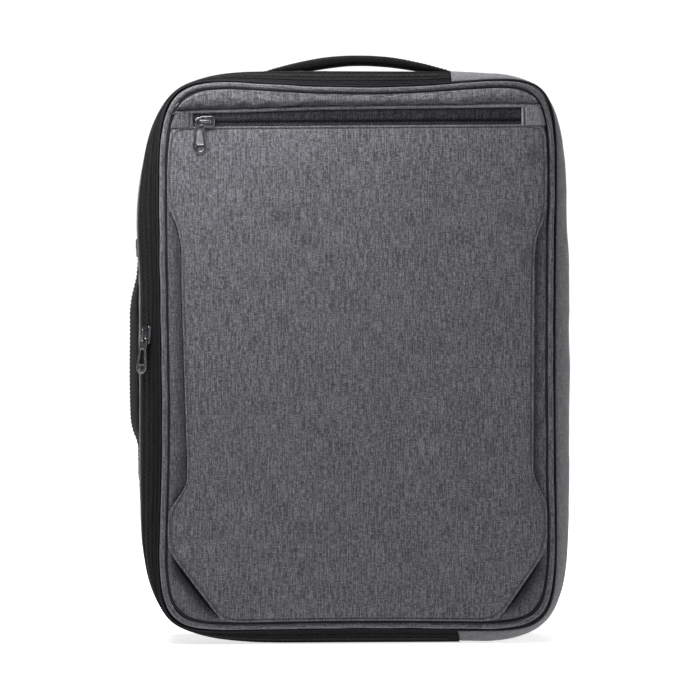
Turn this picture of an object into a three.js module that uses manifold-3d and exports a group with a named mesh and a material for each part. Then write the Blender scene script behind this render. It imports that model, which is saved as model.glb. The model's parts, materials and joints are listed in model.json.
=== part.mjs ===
// Convertible backpack: a slim padded bag with a zipped clamshell opening, a zipped front pocket,
// two carrying handles and two shoulder straps. Millimetres, +Z up, the front faces -Y.
// The origin is the middle of the flat underside that the bag stands on.

import * as THREE from 'three';
import { mergeVertices } from 'three/addons/utils/BufferGeometryUtils.js';
import Module from 'manifold-3d';

const wasm = await Module();
wasm.setup();

// Body, without handles and straps
const BODY_WIDTH = 325;
const BODY_HEIGHT = 430;
const BODY_DEPTH = 100; // between the middles of the two rim pipings
const SIT = 1.8; // how far the soft underside is pressed flat where it stands
const MIDDLE = (BODY_HEIGHT - SIT) / 2; // height of the body's middle
const HALF_HEIGHT = (BODY_HEIGHT + SIT) / 2;

// The gusset swells outwards past the seams of the front and back by these amounts
const SIDE_BULGE = 15.5;
const TOP_BULGE = 13.7;
const SIDE_WAIST = 1.8; // how far the long seams are drawn in at their middles
const TOP_WAIST = 1.3;

// Roundness of the outline's corners: the power of a superellipse, and a higher one is squarer
const BODY_CORNERS = { topRight: 7.2, topLeft: 5.5, bottomLeft: 5.8, bottomRight: 7 };
const SEAM_CORNER = 11;

// Cloth
const CLEARANCE = 0.3; // between pieces that touch
const PANEL_WALL = 3;
const GUSSET_WALL = 3;
const ZIP_BAND_WALL = 2;
const PIPING_DIAMETER = 5.5;
const FRONT_CROWN = 4; // how far the middle of the front swells forwards
const BACK_CROWN = 2;

// Front pocket, laid on the front panel, with a notch in each side and its low corners cut off
const POCKET_PAD = 3.6;
const POCKET_EDGE = 1.3; // its thickness where it is sewn in
const POCKET_RAMP = 12; // the width over which it thickens from a seam
const LIP_RAMP = 42; // and from the zip
const NOTCH_DEPTH = 12.5;
const NOTCH_TOP = 0.256 * BODY_HEIGHT; // heights above and below the body's middle
const NOTCH_SIDE_TOP = 0.191 * BODY_HEIGHT;
const NOTCH_SIDE_BOTTOM = -0.207 * BODY_HEIGHT;
const NOTCH_BOTTOM = -0.26 * BODY_HEIGHT;
const CORNER_CUT_WIDTH = 40;
const CORNER_CUT_HEIGHT = 54;

// Front zip
const ZIP_END_MARGIN = 40; // from the zip's ends to the bag's sides
const ZIP_DROP = 35; // from the bag's top to the zip's
const ZIP_OPENING = 10.7;
const FRONT_ZIP_LENGTH = BODY_WIDTH - 2 * ZIP_END_MARGIN;
const FRONT_ZIP_TOP = BODY_HEIGHT - ZIP_DROP;
const FRONT_ZIP_BOTTOM = FRONT_ZIP_TOP - ZIP_OPENING;
const FRONT_ZIP_LINE = mix(FRONT_ZIP_BOTTOM, FRONT_ZIP_TOP, 0.365); // where the two tapes meet
const TAPE_WALL = 1;
const ZIP_TAB_WALL = 1.4;
const STRIP_EDGE = 1.2; // thickness of the padded strip above the zip, at its edges
const STRIP_ROLL = 2.6; // and how much its middle swells
const COIL_WIDTH = 3;
const COIL_HEIGHT = 1;

// Main zip: a band round the top, the left side and the bottom, between two seams right of the middle
const ZIP_BAND_REAR = -16; // where the band meets the rear gusset
const BAND_TOP_END = 0.228 * BODY_WIDTH;
const BAND_BOTTOM_END = 0.242 * BODY_WIDTH;
const COIL_END_GAP = 8; // from the band's ends to the coil's
const MAIN_SLIDER_HEIGHT = 0.535 * BODY_HEIGHT;

// Zip sliders and pullers
const SLIDER_LENGTH = 14;
const SLIDER_WIDTH = 9;
const SLIDER_NARROW_WIDTH = 6.6;
const SLIDER_PLATE = 2.2;
const BRIDGE_LENGTH = 10;
const BRIDGE_WIDTH = 2.2;
const BRIDGE_FOOT = 1.5;
const BRIDGE_GAP = 2.8; // between the plate and the bridge, where the puller's ring goes through
const BRIDGE_BAR = 1.2;
const FRONT_SLIDER_INSET = 9.3; // from the zip's left end to the slider's middle
const PULLER_THICKNESS = 1.6;
const RING_RADIUS = 3.75;
const RING_HOLE_RADIUS = 2.1;
const PULLER_REACH = 24; // from the middle of the ring to the puller's end
const PULLER_END_WIDTH = 10.7;
const PULLER_SLACK = 0.4; // how far the front puller's ring hangs below the bridge's foot
const CORD_HOLE_WIDTH = 5.4;
const CORD_HOLE_HEIGHT = 3.9;
const CORD_HOLE_RIM = 2.6;
const RECESS_WIDTH = 4.8;
const RECESS_DEPTH = 0.4;
const RECESS_TOP = 5.6;
const RECESS_BOTTOM = 16.4;
const MAIN_PULLER_PIVOT = -2; // along the slider, where the ring's bar turns
const MAIN_PULLER_LEAN = 6; // degrees that its low end hangs out from the bag

// Handles
const TOP_HANDLE_LENGTH = 160;
const TOP_HANDLE_MIDDLE = 4; // right of the bag's middle
const TOP_HANDLE_BACK = 15; // behind the bag's middle
const TOP_HANDLE_WIDTH = 27;
const TOP_HANDLE_THICKNESS = 7.5;
const TOP_HANDLE_RISE = 15.2;
const SIDE_HANDLE_LENGTH = 156;
const SIDE_HANDLE_HEIGHT = 0.493 * BODY_HEIGHT;
const SIDE_HANDLE_BACK = 18;
const SIDE_HANDLE_WIDTH = 27;
const SIDE_HANDLE_THICKNESS = 3.2;
const SIDE_HANDLE_RISE = 8.2;
const HANDLE_END_THICKNESS = 2.4;
const HANDLE_TAB_LENGTH = 13;
const HANDLE_TAB_WALL = 2.6;
const HANDLE_TAB_WIDTH = 32;

// Back and shoulder straps
const BACK_PAD_SIDE = 69.5; // from the back pad to the bag's sides
const BACK_PAD_DROP = 68; // and to its top
const BACK_PAD_FOOT = 66; // and to its underside
const BACK_PAD_WIDTH = BODY_WIDTH - 2 * BACK_PAD_SIDE;
const BACK_PAD_HEIGHT = BODY_HEIGHT - BACK_PAD_DROP - BACK_PAD_FOOT;
const BACK_PAD_MIDDLE = BACK_PAD_FOOT + BACK_PAD_HEIGHT / 2;
const BACK_PAD_WALL = 6;
const BACK_PAD_EDGE = 3;
const BACK_PAD_CORNER = 7;
const YOKE_HEIGHT = 22;
const YOKE_DROP = 27; // from the bag's top to the yoke's
const YOKE_OVERHANG = 10; // past the straps' outer edges
const YOKE_BOTTOM = BODY_HEIGHT - YOKE_DROP - YOKE_HEIGHT;
const YOKE_WALL = 5;
const STRAP_FOOT_INSET = 45.5; // from the foot tab's middle to the bag's side
const STRAP_FOOT_SIDE = BODY_WIDTH / 2 - STRAP_FOOT_INSET;
const STRAP_TOE = 28; // how far the webbing runs on outwards from the strap's low end
const STRAP_LENGTH = 0.54 * BODY_HEIGHT; // upright length of the padded part
const STRAP_WIDTH = 60;
const STRAP_THICKNESS = 10;
const STRAP_SPACING = 96; // between the two straps at the yoke
const YOKE_WIDTH = STRAP_SPACING + STRAP_WIDTH + 2 * YOKE_OVERHANG;
const STRAP_SPREAD = STRAP_FOOT_SIDE - STRAP_SPACING / 2 - STRAP_TOE; // how far the low end is further out
const STRAP_BOW = 29; // how far the strap stands off the back
const BUCKLE_WIDTH = 34;
const BUCKLE_HEIGHT = 22;
const BUCKLE_THICKNESS = 4.5;
const BUCKLE_SLOT_HEIGHT = 3.4;
const BUCKLE_ROUND = 2;
const WEBBING_WIDTH = 25;
const WEBBING_THICKNESS = 1.8;
const STRAP_FOOT_HEIGHT = 46; // height of the tab that holds the webbing's low end
const STRAP_FOOT_SIZE = 34;
const STRAP_FOOT_WALL = 3;

// Depth profile of the gusset. depth: share of BODY_DEPTH from the middle. bulge: share of the swelling.
// square: 0 has the body's own corners, and 1 the squarer corners and drawn-in sides of a seam.
const GUSSET_PROFILE = [
  { depth: -0.47, bulge: 0, square: 1 },
  { depth: -0.45, bulge: 0.27, square: 0.7 },
  { depth: -0.41, bulge: 0.57, square: 0.4 },
  { depth: -0.355, bulge: 0.81, square: 0.18 },
  { depth: -0.27, bulge: 0.945, square: 0.05 },
  { depth: -0.16, bulge: 0.99, square: 0.01 },
  { depth: 0.02, bulge: 1, square: 0 },
  { depth: 0.2, bulge: 0.99, square: 0.01 },
  { depth: 0.31, bulge: 0.9, square: 0.12 },
  { depth: 0.4, bulge: 0.56, square: 0.45 },
  { depth: 0.47, bulge: 0, square: 1 },
];
const ZIP_ROW = 2; // the row of the profile that the main zip's coil runs on
const SEAM_ROW = 5; // the row where band and rear gusset meet

// Handle profiles. along: share of the half length. rise: share of the handle's rise at its outer face.
// thick: share of the swelling between the thin ends and the padded middle. wide: share of the width.
const TOP_HANDLE_PROFILE = [
  { along: 1, rise: 0.18, thick: 0, wide: 1 },
  { along: 0.9, rise: 0.2, thick: 0.05, wide: 1 },
  { along: 0.8, rise: 0.34, thick: 0.28, wide: 0.98 },
  { along: 0.6, rise: 0.61, thick: 0.7, wide: 0.93 },
  { along: 0.35, rise: 0.87, thick: 0.96, wide: 0.88 },
  { along: 0.15, rise: 0.98, thick: 1, wide: 0.86 },
  { along: 0, rise: 1, thick: 1, wide: 0.86 },
];
const SIDE_HANDLE_PROFILE = [
  { along: 1, rise: 0.34, thick: 0, wide: 1 },
  { along: 0.88, rise: 0.36, thick: 0.05, wide: 1 },
  { along: 0.76, rise: 0.52, thick: 0.4, wide: 0.98 },
  { along: 0.62, rise: 0.79, thick: 0.8, wide: 0.95 },
  { along: 0.45, rise: 0.96, thick: 1, wide: 0.92 },
  { along: 0, rise: 1, thick: 1, wide: 0.9 },
];

// Shoulder strap. down: share of STRAP_LENGTH below the yoke. out: share of STRAP_SPREAD.
// bow: share of STRAP_BOW off the back. wide and thick: shares of the full width and thickness.
const STRAP_PROFILE = [
  { down: 0, out: 0, bow: 0, wide: 1, thick: 0.5 },
  { down: 0.015, out: 0, bow: 0, wide: 1, thick: 0.55 },
  { down: 0.05, out: 0.02, bow: 0.2, wide: 1, thick: 0.75 },
  { down: 0.13, out: 0.06, bow: 0.54, wide: 0.99, thick: 0.95 },
  { down: 0.26, out: 0.13, bow: 0.84, wide: 0.97, thick: 1 },
  { down: 0.42, out: 0.25, bow: 1, wide: 0.94, thick: 1 },
  { down: 0.58, out: 0.42, bow: 0.97, wide: 0.9, thick: 1 },
  { down: 0.74, out: 0.64, bow: 0.8, wide: 0.84, thick: 1 },
  { down: 0.88, out: 0.85, bow: 0.58, wide: 0.74, thick: 0.9 },
  { down: 0.96, out: 0.96, bow: 0.53, wide: 0.6, thick: 0.7 },
  { down: 1, out: 1, bow: 0.48, wide: 0.5, thick: 0.45 },
];

// Fineness of the faceted surfaces
const RING_POINTS = 64;
const TURN_PER_POINT = 0.16; // radians of corner that count as much as STRAIGHT_PER_POINT of side
const STRAIGHT_PER_POINT = 55;
const PIPING_SIDES = 6;

const UP = new THREE.Vector3(0, 0, 1);
const BACKWARDS = new THREE.Vector3(0, 1, 0);
const COLUMN_STEPS = 14;

const cloth = (color, roughness = 0.9) => new THREE.MeshStandardMaterial({ color, roughness, metalness: 0 });
const greyCloth = cloth(0x646468);
const blackCloth = cloth(0x202023);
const blackTape = cloth(0x2a2a2d, 0.8);
const blackMesh = cloth(0x1d1d20, 0.95);
const blackPlastic = new THREE.MeshStandardMaterial({ color: 0x1b1b1d, roughness: 0.45, metalness: 0 });
const gunmetal = new THREE.MeshStandardMaterial({ color: 0x56565a, roughness: 0.3, metalness: 1 });

const bag = new THREE.Group();

function mix(a, b, share) {
  return a + (b - a) * share;
}

function ease(share) {
  const t = Math.min(1, Math.max(0, share));
  return t * t * (3 - 2 * t);
}

// A closed geometry from points and triangles, with its faces turned outwards
function solid(points, triangles) {
  let volume = 0;
  for (const [a, b, c] of triangles) {
    volume += points[a].dot(new THREE.Vector3().crossVectors(points[b], points[c]));
  }
  const faces = volume < 0 ? triangles.map(([a, b, c]) => [a, c, b]) : triangles;
  const geometry = new THREE.BufferGeometry().setFromPoints(points);
  geometry.setIndex(faces.flat());
  geometry.computeVertexNormals();
  return geometry;
}

// Joins loops of equal length into a tube. A ring closes on itself, and an open tube gets end caps,
// which pair each point of the loop with the one facing it, so that a thin curved wall caps well.
function sweep(loops, closed) {
  const count = loops[0].length;
  const triangles = [];
  const last = closed ? loops.length : loops.length - 1;
  for (let i = 0; i < last; i++) {
    const here = i * count;
    const next = ((i + 1) % loops.length) * count;
    for (let j = 0; j < count; j++) {
      const k = (j + 1) % count;
      triangles.push([here + j, next + j, next + k], [here + j, next + k, here + k]);
    }
  }
  if (!closed) {
    const end = (loops.length - 1) * count;
    for (let j = 0; j < count / 2 - 1; j++) {
      const facing = count - 1 - j;
      triangles.push([j, j + 1, facing], [j + 1, facing - 1, facing]);
      triangles.push([end + j, end + facing, end + j + 1], [end + j + 1, end + facing, end + facing - 1]);
    }
  }
  return solid(loops.flat(), triangles);
}

// A wall between two faces that are grids of points with the same rows and columns
function slab(front, back) {
  const loops = front.map((row, i) => [...row, ...[...back[i]].reverse()]);
  return sweep(loops, false);
}

// A padded sheet that is round-ish seen from the front: rings of points shrink from the rim to a middle
function roundSheet(rim, middle, shares, frontAt, backAt) {
  const points = [];
  const triangles = [];
  const count = rim.length;
  for (const yAt of [frontAt, backAt]) {
    const start = points.length;
    points.push(new THREE.Vector3(middle.x, yAt(middle.x, middle.z), middle.z));
    for (const share of shares) {
      for (const p of rim) {
        const x = mix(middle.x, p.x, share);
        const z = mix(middle.z, p.z, share);
        points.push(new THREE.Vector3(x, yAt(x, z), z));
      }
    }
    const turned = yAt === frontAt;
    const add = (a, b, c) => triangles.push(turned ? [a, b, c] : [a, c, b]);
    for (let j = 0; j < count; j++) {
      const k = (j + 1) % count;
      add(start, start + 1 + j, start + 1 + k);
      for (let r = 0; r < shares.length - 1; r++) {
        const inner = start + 1 + r * count;
        const outer = inner + count;
        add(inner + j, outer + j, outer + k);
        add(inner + j, outer + k, inner + k);
      }
    }
  }
  const frontRim = 1 + (shares.length - 1) * count;
  const backRim = frontRim + 1 + shares.length * count;
  for (let j = 0; j < count; j++) {
    const k = (j + 1) % count;
    triangles.push([frontRim + j, backRim + j, backRim + k], [frontRim + j, backRim + k, frontRim + k]);
  }
  return solid(points, triangles);
}

// Point of the body's rounded outline in one direction from its middle, drawn in by side and top insets.
// lowest is as far down as the point may lie, because the underside is pressed flat.
function outlinePoint(angle, inset, square, lowest = 0) {
  const c = Math.cos(angle);
  const s = Math.sin(angle);
  const up = s >= 0 ? 'top' : 'bottom';
  const corner = mix(BODY_CORNERS[up + (c >= 0 ? 'Right' : 'Left')], SEAM_CORNER, square);
  const halfWidth = BODY_WIDTH / 2 - inset.side;
  const halfHeight = HALF_HEIGHT - inset.top;
  const reach = (Math.abs(c / halfWidth) ** corner + Math.abs(s / halfHeight) ** corner) ** (-1 / corner);
  const x = reach * c;
  const z = reach * s;
  const drawnX = square * SIDE_WAIST * (1 - (z / halfHeight) ** 2) ** 2 / halfWidth;
  const drawnZ = square * TOP_WAIST * (1 - (x / halfWidth) ** 2) ** 2 / halfHeight;
  return { x: x * (1 - drawnX), z: Math.max(lowest, MIDDLE + z * (1 - drawnZ)) };
}

function insetOf(row, wall = 0) {
  return { side: SIDE_BULGE * (1 - row.bulge) + wall, top: TOP_BULGE * (1 - row.bulge) + wall };
}

const SEAM = { side: SIDE_BULGE, top: TOP_BULGE };
function seamInset(further) {
  return { side: SEAM.side + further, top: SEAM.top + further };
}

// Directions that follow the outline closely in its corners and sparsely along its sides
function spreadAngles(start, end, count) {
  const steps = 1440;
  const angles = Array.from({ length: steps + 1 }, (_, i) => mix(start, end, i / steps));
  const work = [0];
  const outlines = [[SEAM, 1], [{ side: 0, top: 0 }, 0]].map(([inset, square]) =>
    angles.map((angle) => outlinePoint(angle, inset, square)));
  const heading = (line, i) => Math.atan2(line[i + 1].z - line[i].z, line[i + 1].x - line[i].x);
  for (let i = 1; i <= steps; i++) {
    let amount = 0;
    for (const line of outlines) {
      amount += Math.hypot(line[i].x - line[i - 1].x, line[i].z - line[i - 1].z) / STRAIGHT_PER_POINT;
      if (i < steps) {
        const turn = heading(line, i) - heading(line, i - 1);
        amount += Math.abs(Math.atan2(Math.sin(turn), Math.cos(turn))) / TURN_PER_POINT;
      }
    }
    work.push(work[i - 1] + amount);
  }
  const spread = [];
  let i = 0;
  for (let n = 0; n < count; n++) {
    const goal = work[steps] * n / (count - 1);
    while (i < steps - 1 && work[i + 1] < goal) i++;
    const share = (goal - work[i]) / Math.max(1e-9, work[i + 1] - work[i]);
    spread.push(mix(angles[i], angles[i + 1], Math.min(1, share)));
  }
  return spread;
}

const FULL_TURN = 2 * Math.PI;
const RING_ANGLES = spreadAngles(0, FULL_TURN, RING_POINTS + 1).slice(0, RING_POINTS);

// A stretch of the gusset between two rows of the profile, as the loops of a wall that is swept round
function gussetLoops(angles, firstRow, lastRow, wall, frontEdge, rearEdge) {
  const rows = GUSSET_PROFILE.slice(firstRow, lastRow + 1);
  const depthOf = (i) => {
    if (i === 0) return frontEdge;
    return i === rows.length - 1 ? rearEdge : rows[i].depth * BODY_DEPTH;
  };
  return angles.map((angle) => {
    const faces = [0, wall].map((inward) => rows.map((row, i) => {
      const p = outlinePoint(angle, insetOf(row, inward), row.square, inward);
      return new THREE.Vector3(p.x, depthOf(i), p.z);
    }));
    return [...faces[0], ...faces[1].reverse()];
  });
}

// Place on the gusset's outer face, with the way along the outline, the way across it and the way out
function gussetPlace(angle, rowNumber) {
  const at = (turn, row) => {
    const p = outlinePoint(angle + turn, insetOf(row), row.square);
    return new THREE.Vector3(p.x, row.depth * BODY_DEPTH, p.z);
  };
  const row = GUSSET_PROFILE[rowNumber];
  const along = at(0.002, row).sub(at(-0.002, row)).normalize();
  const across = at(0, GUSSET_PROFILE[rowNumber + 1]).sub(at(0, GUSSET_PROFILE[rowNumber - 1]));
  const out = new THREE.Vector3().crossVectors(across, along).normalize();
  const side = new THREE.Vector3().crossVectors(along, out).normalize();
  return { point: at(0, row), along, side, out };
}

function place(name, geometry, material) {
  const mesh = new THREE.Mesh(geometry, material);
  mesh.name = name;
  bag.add(mesh);
  return mesh;
}

// Mesh in three.js form from a manifold solid, and the other way round
function toManifold(geometry) {
  const bare = geometry.clone();
  bare.deleteAttribute('normal');
  bare.deleteAttribute('uv');
  const merged = mergeVertices(bare, 1e-4);
  return new wasm.Manifold(new wasm.Mesh({
    numProp: 3,
    vertProperties: new Float32Array(merged.attributes.position.array),
    triVerts: new Uint32Array(merged.index.array),
  }));
}

function toGeometry(manifold) {
  const mesh = manifold.getMesh();
  const geometry = new THREE.BufferGeometry();
  geometry.setAttribute('position', new THREE.BufferAttribute(new Float32Array(mesh.vertProperties), 3));
  geometry.setIndex(new THREE.BufferAttribute(new Uint32Array(mesh.triVerts), 1));
  geometry.computeVertexNormals();
  return geometry;
}

function extrude(shape, depth, lift = 0, curveSegments = 6) {
  const geometry = new THREE.ExtrudeGeometry(shape, { depth, bevelEnabled: false, curveSegments });
  return geometry.translate(0, 0, lift);
}

// Front and back faces of the body, as depth over the point (x, z)
const PANEL_RIM = PIPING_DIAMETER + CLEARANCE; // the panels lie inside the piping
const PANEL_HALF_WIDTH = BODY_WIDTH / 2 - SIDE_BULGE - PANEL_RIM;
const PANEL_HALF_HEIGHT = HALF_HEIGHT - TOP_BULGE - PANEL_RIM;
const CROWN_POWER = 2.5;

function crown(x, z) {
  const across = 1 - Math.min(1, Math.abs(x / PANEL_HALF_WIDTH)) ** CROWN_POWER;
  const up = 1 - Math.min(1, Math.abs((z - MIDDLE) / PANEL_HALF_HEIGHT)) ** CROWN_POWER;
  return across * up;
}

const frontFace = (x, z) => -(BODY_DEPTH / 2 + PANEL_WALL / 2 + FRONT_CROWN * crown(x, z));
const backFace = (x, z) => BODY_DEPTH / 2 + PANEL_WALL / 2 + BACK_CROWN * crown(x, z);

function panelRim(angles) {
  return angles.map((angle) => outlinePoint(angle, seamInset(PANEL_RIM), 1));
}

function buildPanels() {
  const middle = { x: 0, z: MIDDLE };
  const rim = panelRim(RING_ANGLES);
  const front = roundSheet(rim, middle, [0.5, 0.85, 1], frontFace, (x, z) => frontFace(x, z) + PANEL_WALL);
  place('front_panel', front, greyCloth);
  const back = roundSheet(rim, middle, [0.6, 1], backFace, (x, z) => backFace(x, z) - PANEL_WALL);
  place('back_panel', back, greyCloth);
}

// Piping: a cord in cloth round the seam, drawn in by its own radius so that its outside is the seam's
function buildPiping(name, depth) {
  const radius = PIPING_DIAMETER / 2;
  const loops = RING_ANGLES.map((angle) => {
    const outer = outlinePoint(angle, SEAM, 1);
    const inner = outlinePoint(angle, seamInset(PIPING_DIAMETER), 1);
    const middle = new THREE.Vector3((outer.x + inner.x) / 2, depth, (outer.z + inner.z) / 2);
    const out = new THREE.Vector3(outer.x - inner.x, 0, outer.z - inner.z).normalize();
    return Array.from({ length: PIPING_SIDES }, (_, i) => {
      const turn = FULL_TURN * (i + 0.5) / PIPING_SIDES;
      return middle.clone()
        .addScaledVector(out, radius * Math.cos(turn))
        .addScaledVector(BACKWARDS, radius * Math.sin(turn));
    });
  });
  place(name, sweep(loops, true), greyCloth);
}

function buildGusset() {
  const frontEdge = GUSSET_PROFILE[0].depth * BODY_DEPTH;
  const rearEdge = -frontEdge;
  const seamGap = CLEARANCE / 2;
  const topEnd = Math.atan2(HALF_HEIGHT, BAND_TOP_END);
  const bottomEnd = FULL_TURN - Math.atan2(HALF_HEIGHT, BAND_BOTTOM_END);
  const endGap = seamGap / HALF_HEIGHT;
  const bandAngles = spreadAngles(topEnd + endGap, bottomEnd - endGap, 46);
  const hingeAngles = spreadAngles(bottomEnd + endGap - FULL_TURN, topEnd - endGap, 24);
  const front = (angles, wall) =>
    sweep(gussetLoops(angles, 0, SEAM_ROW, wall, frontEdge, ZIP_BAND_REAR - seamGap), false);
  place('main_zip_band', front(bandAngles, ZIP_BAND_WALL), blackTape);
  place('hinge_panel', front(hingeAngles, GUSSET_WALL), greyCloth);
  const last = GUSSET_PROFILE.length - 1;
  const rear = gussetLoops(RING_ANGLES, SEAM_ROW, last, GUSSET_WALL, ZIP_BAND_REAR + seamGap, rearEdge);
  place('rear_gusset', sweep(rear, true), greyCloth);
  buildMainCoil(spreadAngles(topEnd + COIL_END_GAP / HALF_HEIGHT, bottomEnd - COIL_END_GAP / HALF_HEIGHT, 44));
}

// The main zip's coil: a low rib that runs along the band
function buildMainCoil(angles) {
  const half = COIL_WIDTH / 2;
  const section = [[-half, 0], [-half * 0.5, COIL_HEIGHT], [half * 0.5, COIL_HEIGHT], [half, 0]];
  const loops = angles.map((angle) => {
    const { point, side, out } = gussetPlace(angle, ZIP_ROW);
    return section.map(([across, high]) => point.clone()
      .addScaledVector(side, across)
      .addScaledVector(out, high + CLEARANCE));
  });
  place('main_zip_coil', sweep(loops, false), blackTape);
}

// Columns of a strip that lies on the front or back: each has a low and a high end
function stripColumns(left, right, bottom, top, steps = COLUMN_STEPS) {
  return Array.from({ length: steps + 1 }, (_, i) => ({ x: mix(left, right, i / steps), bottom, top }));
}

// A strip of cloth on a face of the body. thickness takes the share of the way up and the place.
function strip(columns, rows, face, outwards, thickness) {
  const grid = (lift) => columns.map(({ x, bottom, top }) =>
    Array.from({ length: rows + 1 }, (_, j) => {
      const share = j / rows;
      const z = mix(bottom, top, share);
      return new THREE.Vector3(x, face(x, z) + outwards * (CLEARANCE + lift * thickness(share, x, z)), z);
    }));
  return slab(grid(1), grid(0));
}

// Where a ray from the middle meets the line between two points given by side and height, or Infinity
function rayToLine(direction, from, to) {
  const run = to.x - from.x;
  const climb = to.z - from.z;
  const across = direction.x * climb - direction.z * run;
  if (Math.abs(across) < 1e-9) return Infinity;
  const reach = (from.x * climb - from.z * run) / across;
  const share = (from.x * direction.z - from.z * direction.x) / across;
  return reach > 0 && share >= -1e-6 && share <= 1 + 1e-6 ? reach : Infinity;
}

function buildFrontPocket() {
  const halfWidth = PANEL_HALF_WIDTH;
  const notch = halfWidth - NOTCH_DEPTH;
  const lip = FRONT_ZIP_BOTTOM - MIDDLE;
  const foot = -PANEL_HALF_HEIGHT;
  const cuts = [
    { x: halfWidth, z: NOTCH_TOP },
    { x: notch, z: NOTCH_SIDE_TOP },
    { x: notch, z: NOTCH_SIDE_BOTTOM },
    { x: halfWidth, z: NOTCH_BOTTOM },
    { x: halfWidth, z: foot + CORNER_CUT_HEIGHT },
    { x: halfWidth - CORNER_CUT_WIDTH, z: foot },
  ];
  const lines = [[0, 1], [1, 2], [2, 3], [4, 5]].map(([a, b]) => [cuts[a], cuts[b]]);
  const limited = (angle) => {
    const p = outlinePoint(angle, seamInset(PANEL_RIM), 1);
    const rim = { x: p.x, z: p.z - MIDDLE };
    const direction = { x: Math.abs(rim.x), z: rim.z };
    let share = 1;
    for (const [from, to] of lines) share = Math.min(share, rayToLine(direction, from, to));
    if (rim.z > lip) share = Math.min(share, lip / rim.z);
    return { x: rim.x * share, z: MIDDLE + rim.z * share };
  };
  const marks = [];
  for (const cut of cuts) marks.push(Math.atan2(cut.z, cut.x), Math.atan2(cut.z, -cut.x));
  const lipCorner = Math.atan2(lip, halfWidth - SIDE_WAIST / 2);
  marks.push(lipCorner, Math.PI - lipCorner);
  const angles = [...RING_ANGLES, ...marks.map((angle) => (angle + FULL_TURN) % FULL_TURN)]
    .sort((a, b) => a - b)
    .filter((angle, i, all) => i === 0 || angle - all[i - 1] > 0.004);
  const seamShare = (x, z) => Math.max(
    Math.abs(x) / halfWidth, Math.abs(z - MIDDLE) / PANEL_HALF_HEIGHT) * halfWidth;
  const thickness = (x, z) => {
    const fromSeam = ease((halfWidth - seamShare(x, z)) / POCKET_RAMP);
    const fromLip = ease((FRONT_ZIP_BOTTOM - z) / LIP_RAMP);
    return mix(POCKET_EDGE, POCKET_PAD, Math.min(fromSeam, fromLip));
  };
  const back = (x, z) => frontFace(x, z) - CLEARANCE;
  const front = (x, z) => back(x, z) - thickness(x, z);
  const sheet = roundSheet(angles.map(limited), { x: 0, z: MIDDLE }, [0.5, 0.78, 0.93, 1], front, back);
  place('front_pocket', sheet, greyCloth);
}

function buildFrontZip() {
  const half = FRONT_ZIP_LENGTH / 2;
  const low = FRONT_ZIP_BOTTOM + CLEARANCE;
  const high = FRONT_ZIP_TOP - CLEARANCE;
  const tape = stripColumns(-half, half, low, high);
  place('front_zip_tape', strip(tape, 1, frontFace, -1, () => TAPE_WALL), blackTape);

  const coil = stripColumns(-half + SLIDER_LENGTH + FRONT_SLIDER_INSET, half - CLEARANCE,
    FRONT_ZIP_LINE - COIL_WIDTH / 2, FRONT_ZIP_LINE + COIL_WIDTH / 2);
  const onTape = (x, z) => frontFace(x, z) - CLEARANCE - TAPE_WALL;
  place('front_zip_coil', strip(coil, 2, onTape, -1, (share) => mix(0.5, 1, 1 - Math.abs(2 * share - 1))
    * COIL_HEIGHT), blackTape);

  const rimAt = outlinePoint(Math.atan2(high - MIDDLE, PANEL_HALF_WIDTH), seamInset(PANEL_RIM), 1);
  const tabs = {
    front_zip_tab_left: [-rimAt.x, -half - CLEARANCE],
    front_zip_tab_right: [half + CLEARANCE, rimAt.x],
  };
  for (const [name, [left, right]] of Object.entries(tabs)) {
    const columns = stripColumns(left, right, low, high, 3);
    place(name, strip(columns, 2, frontFace, -1, () => ZIP_TAB_WALL), greyCloth);
  }

  // The padded strip above the zip fills the space up to the panel's rounded rim
  const least = 2.5;
  const columns = panelRim(RING_ANGLES)
    .filter((p) => p.z - FRONT_ZIP_TOP > least)
    .sort((a, b) => a.x - b.x)
    .map((p) => ({ x: p.x, bottom: FRONT_ZIP_TOP, top: p.z }));
  const roll = (share) => STRIP_EDGE + STRIP_ROLL * Math.sin(Math.PI * share);
  place('front_top_strip', strip(columns, 4, frontFace, -1, roll), greyCloth);
}

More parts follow.
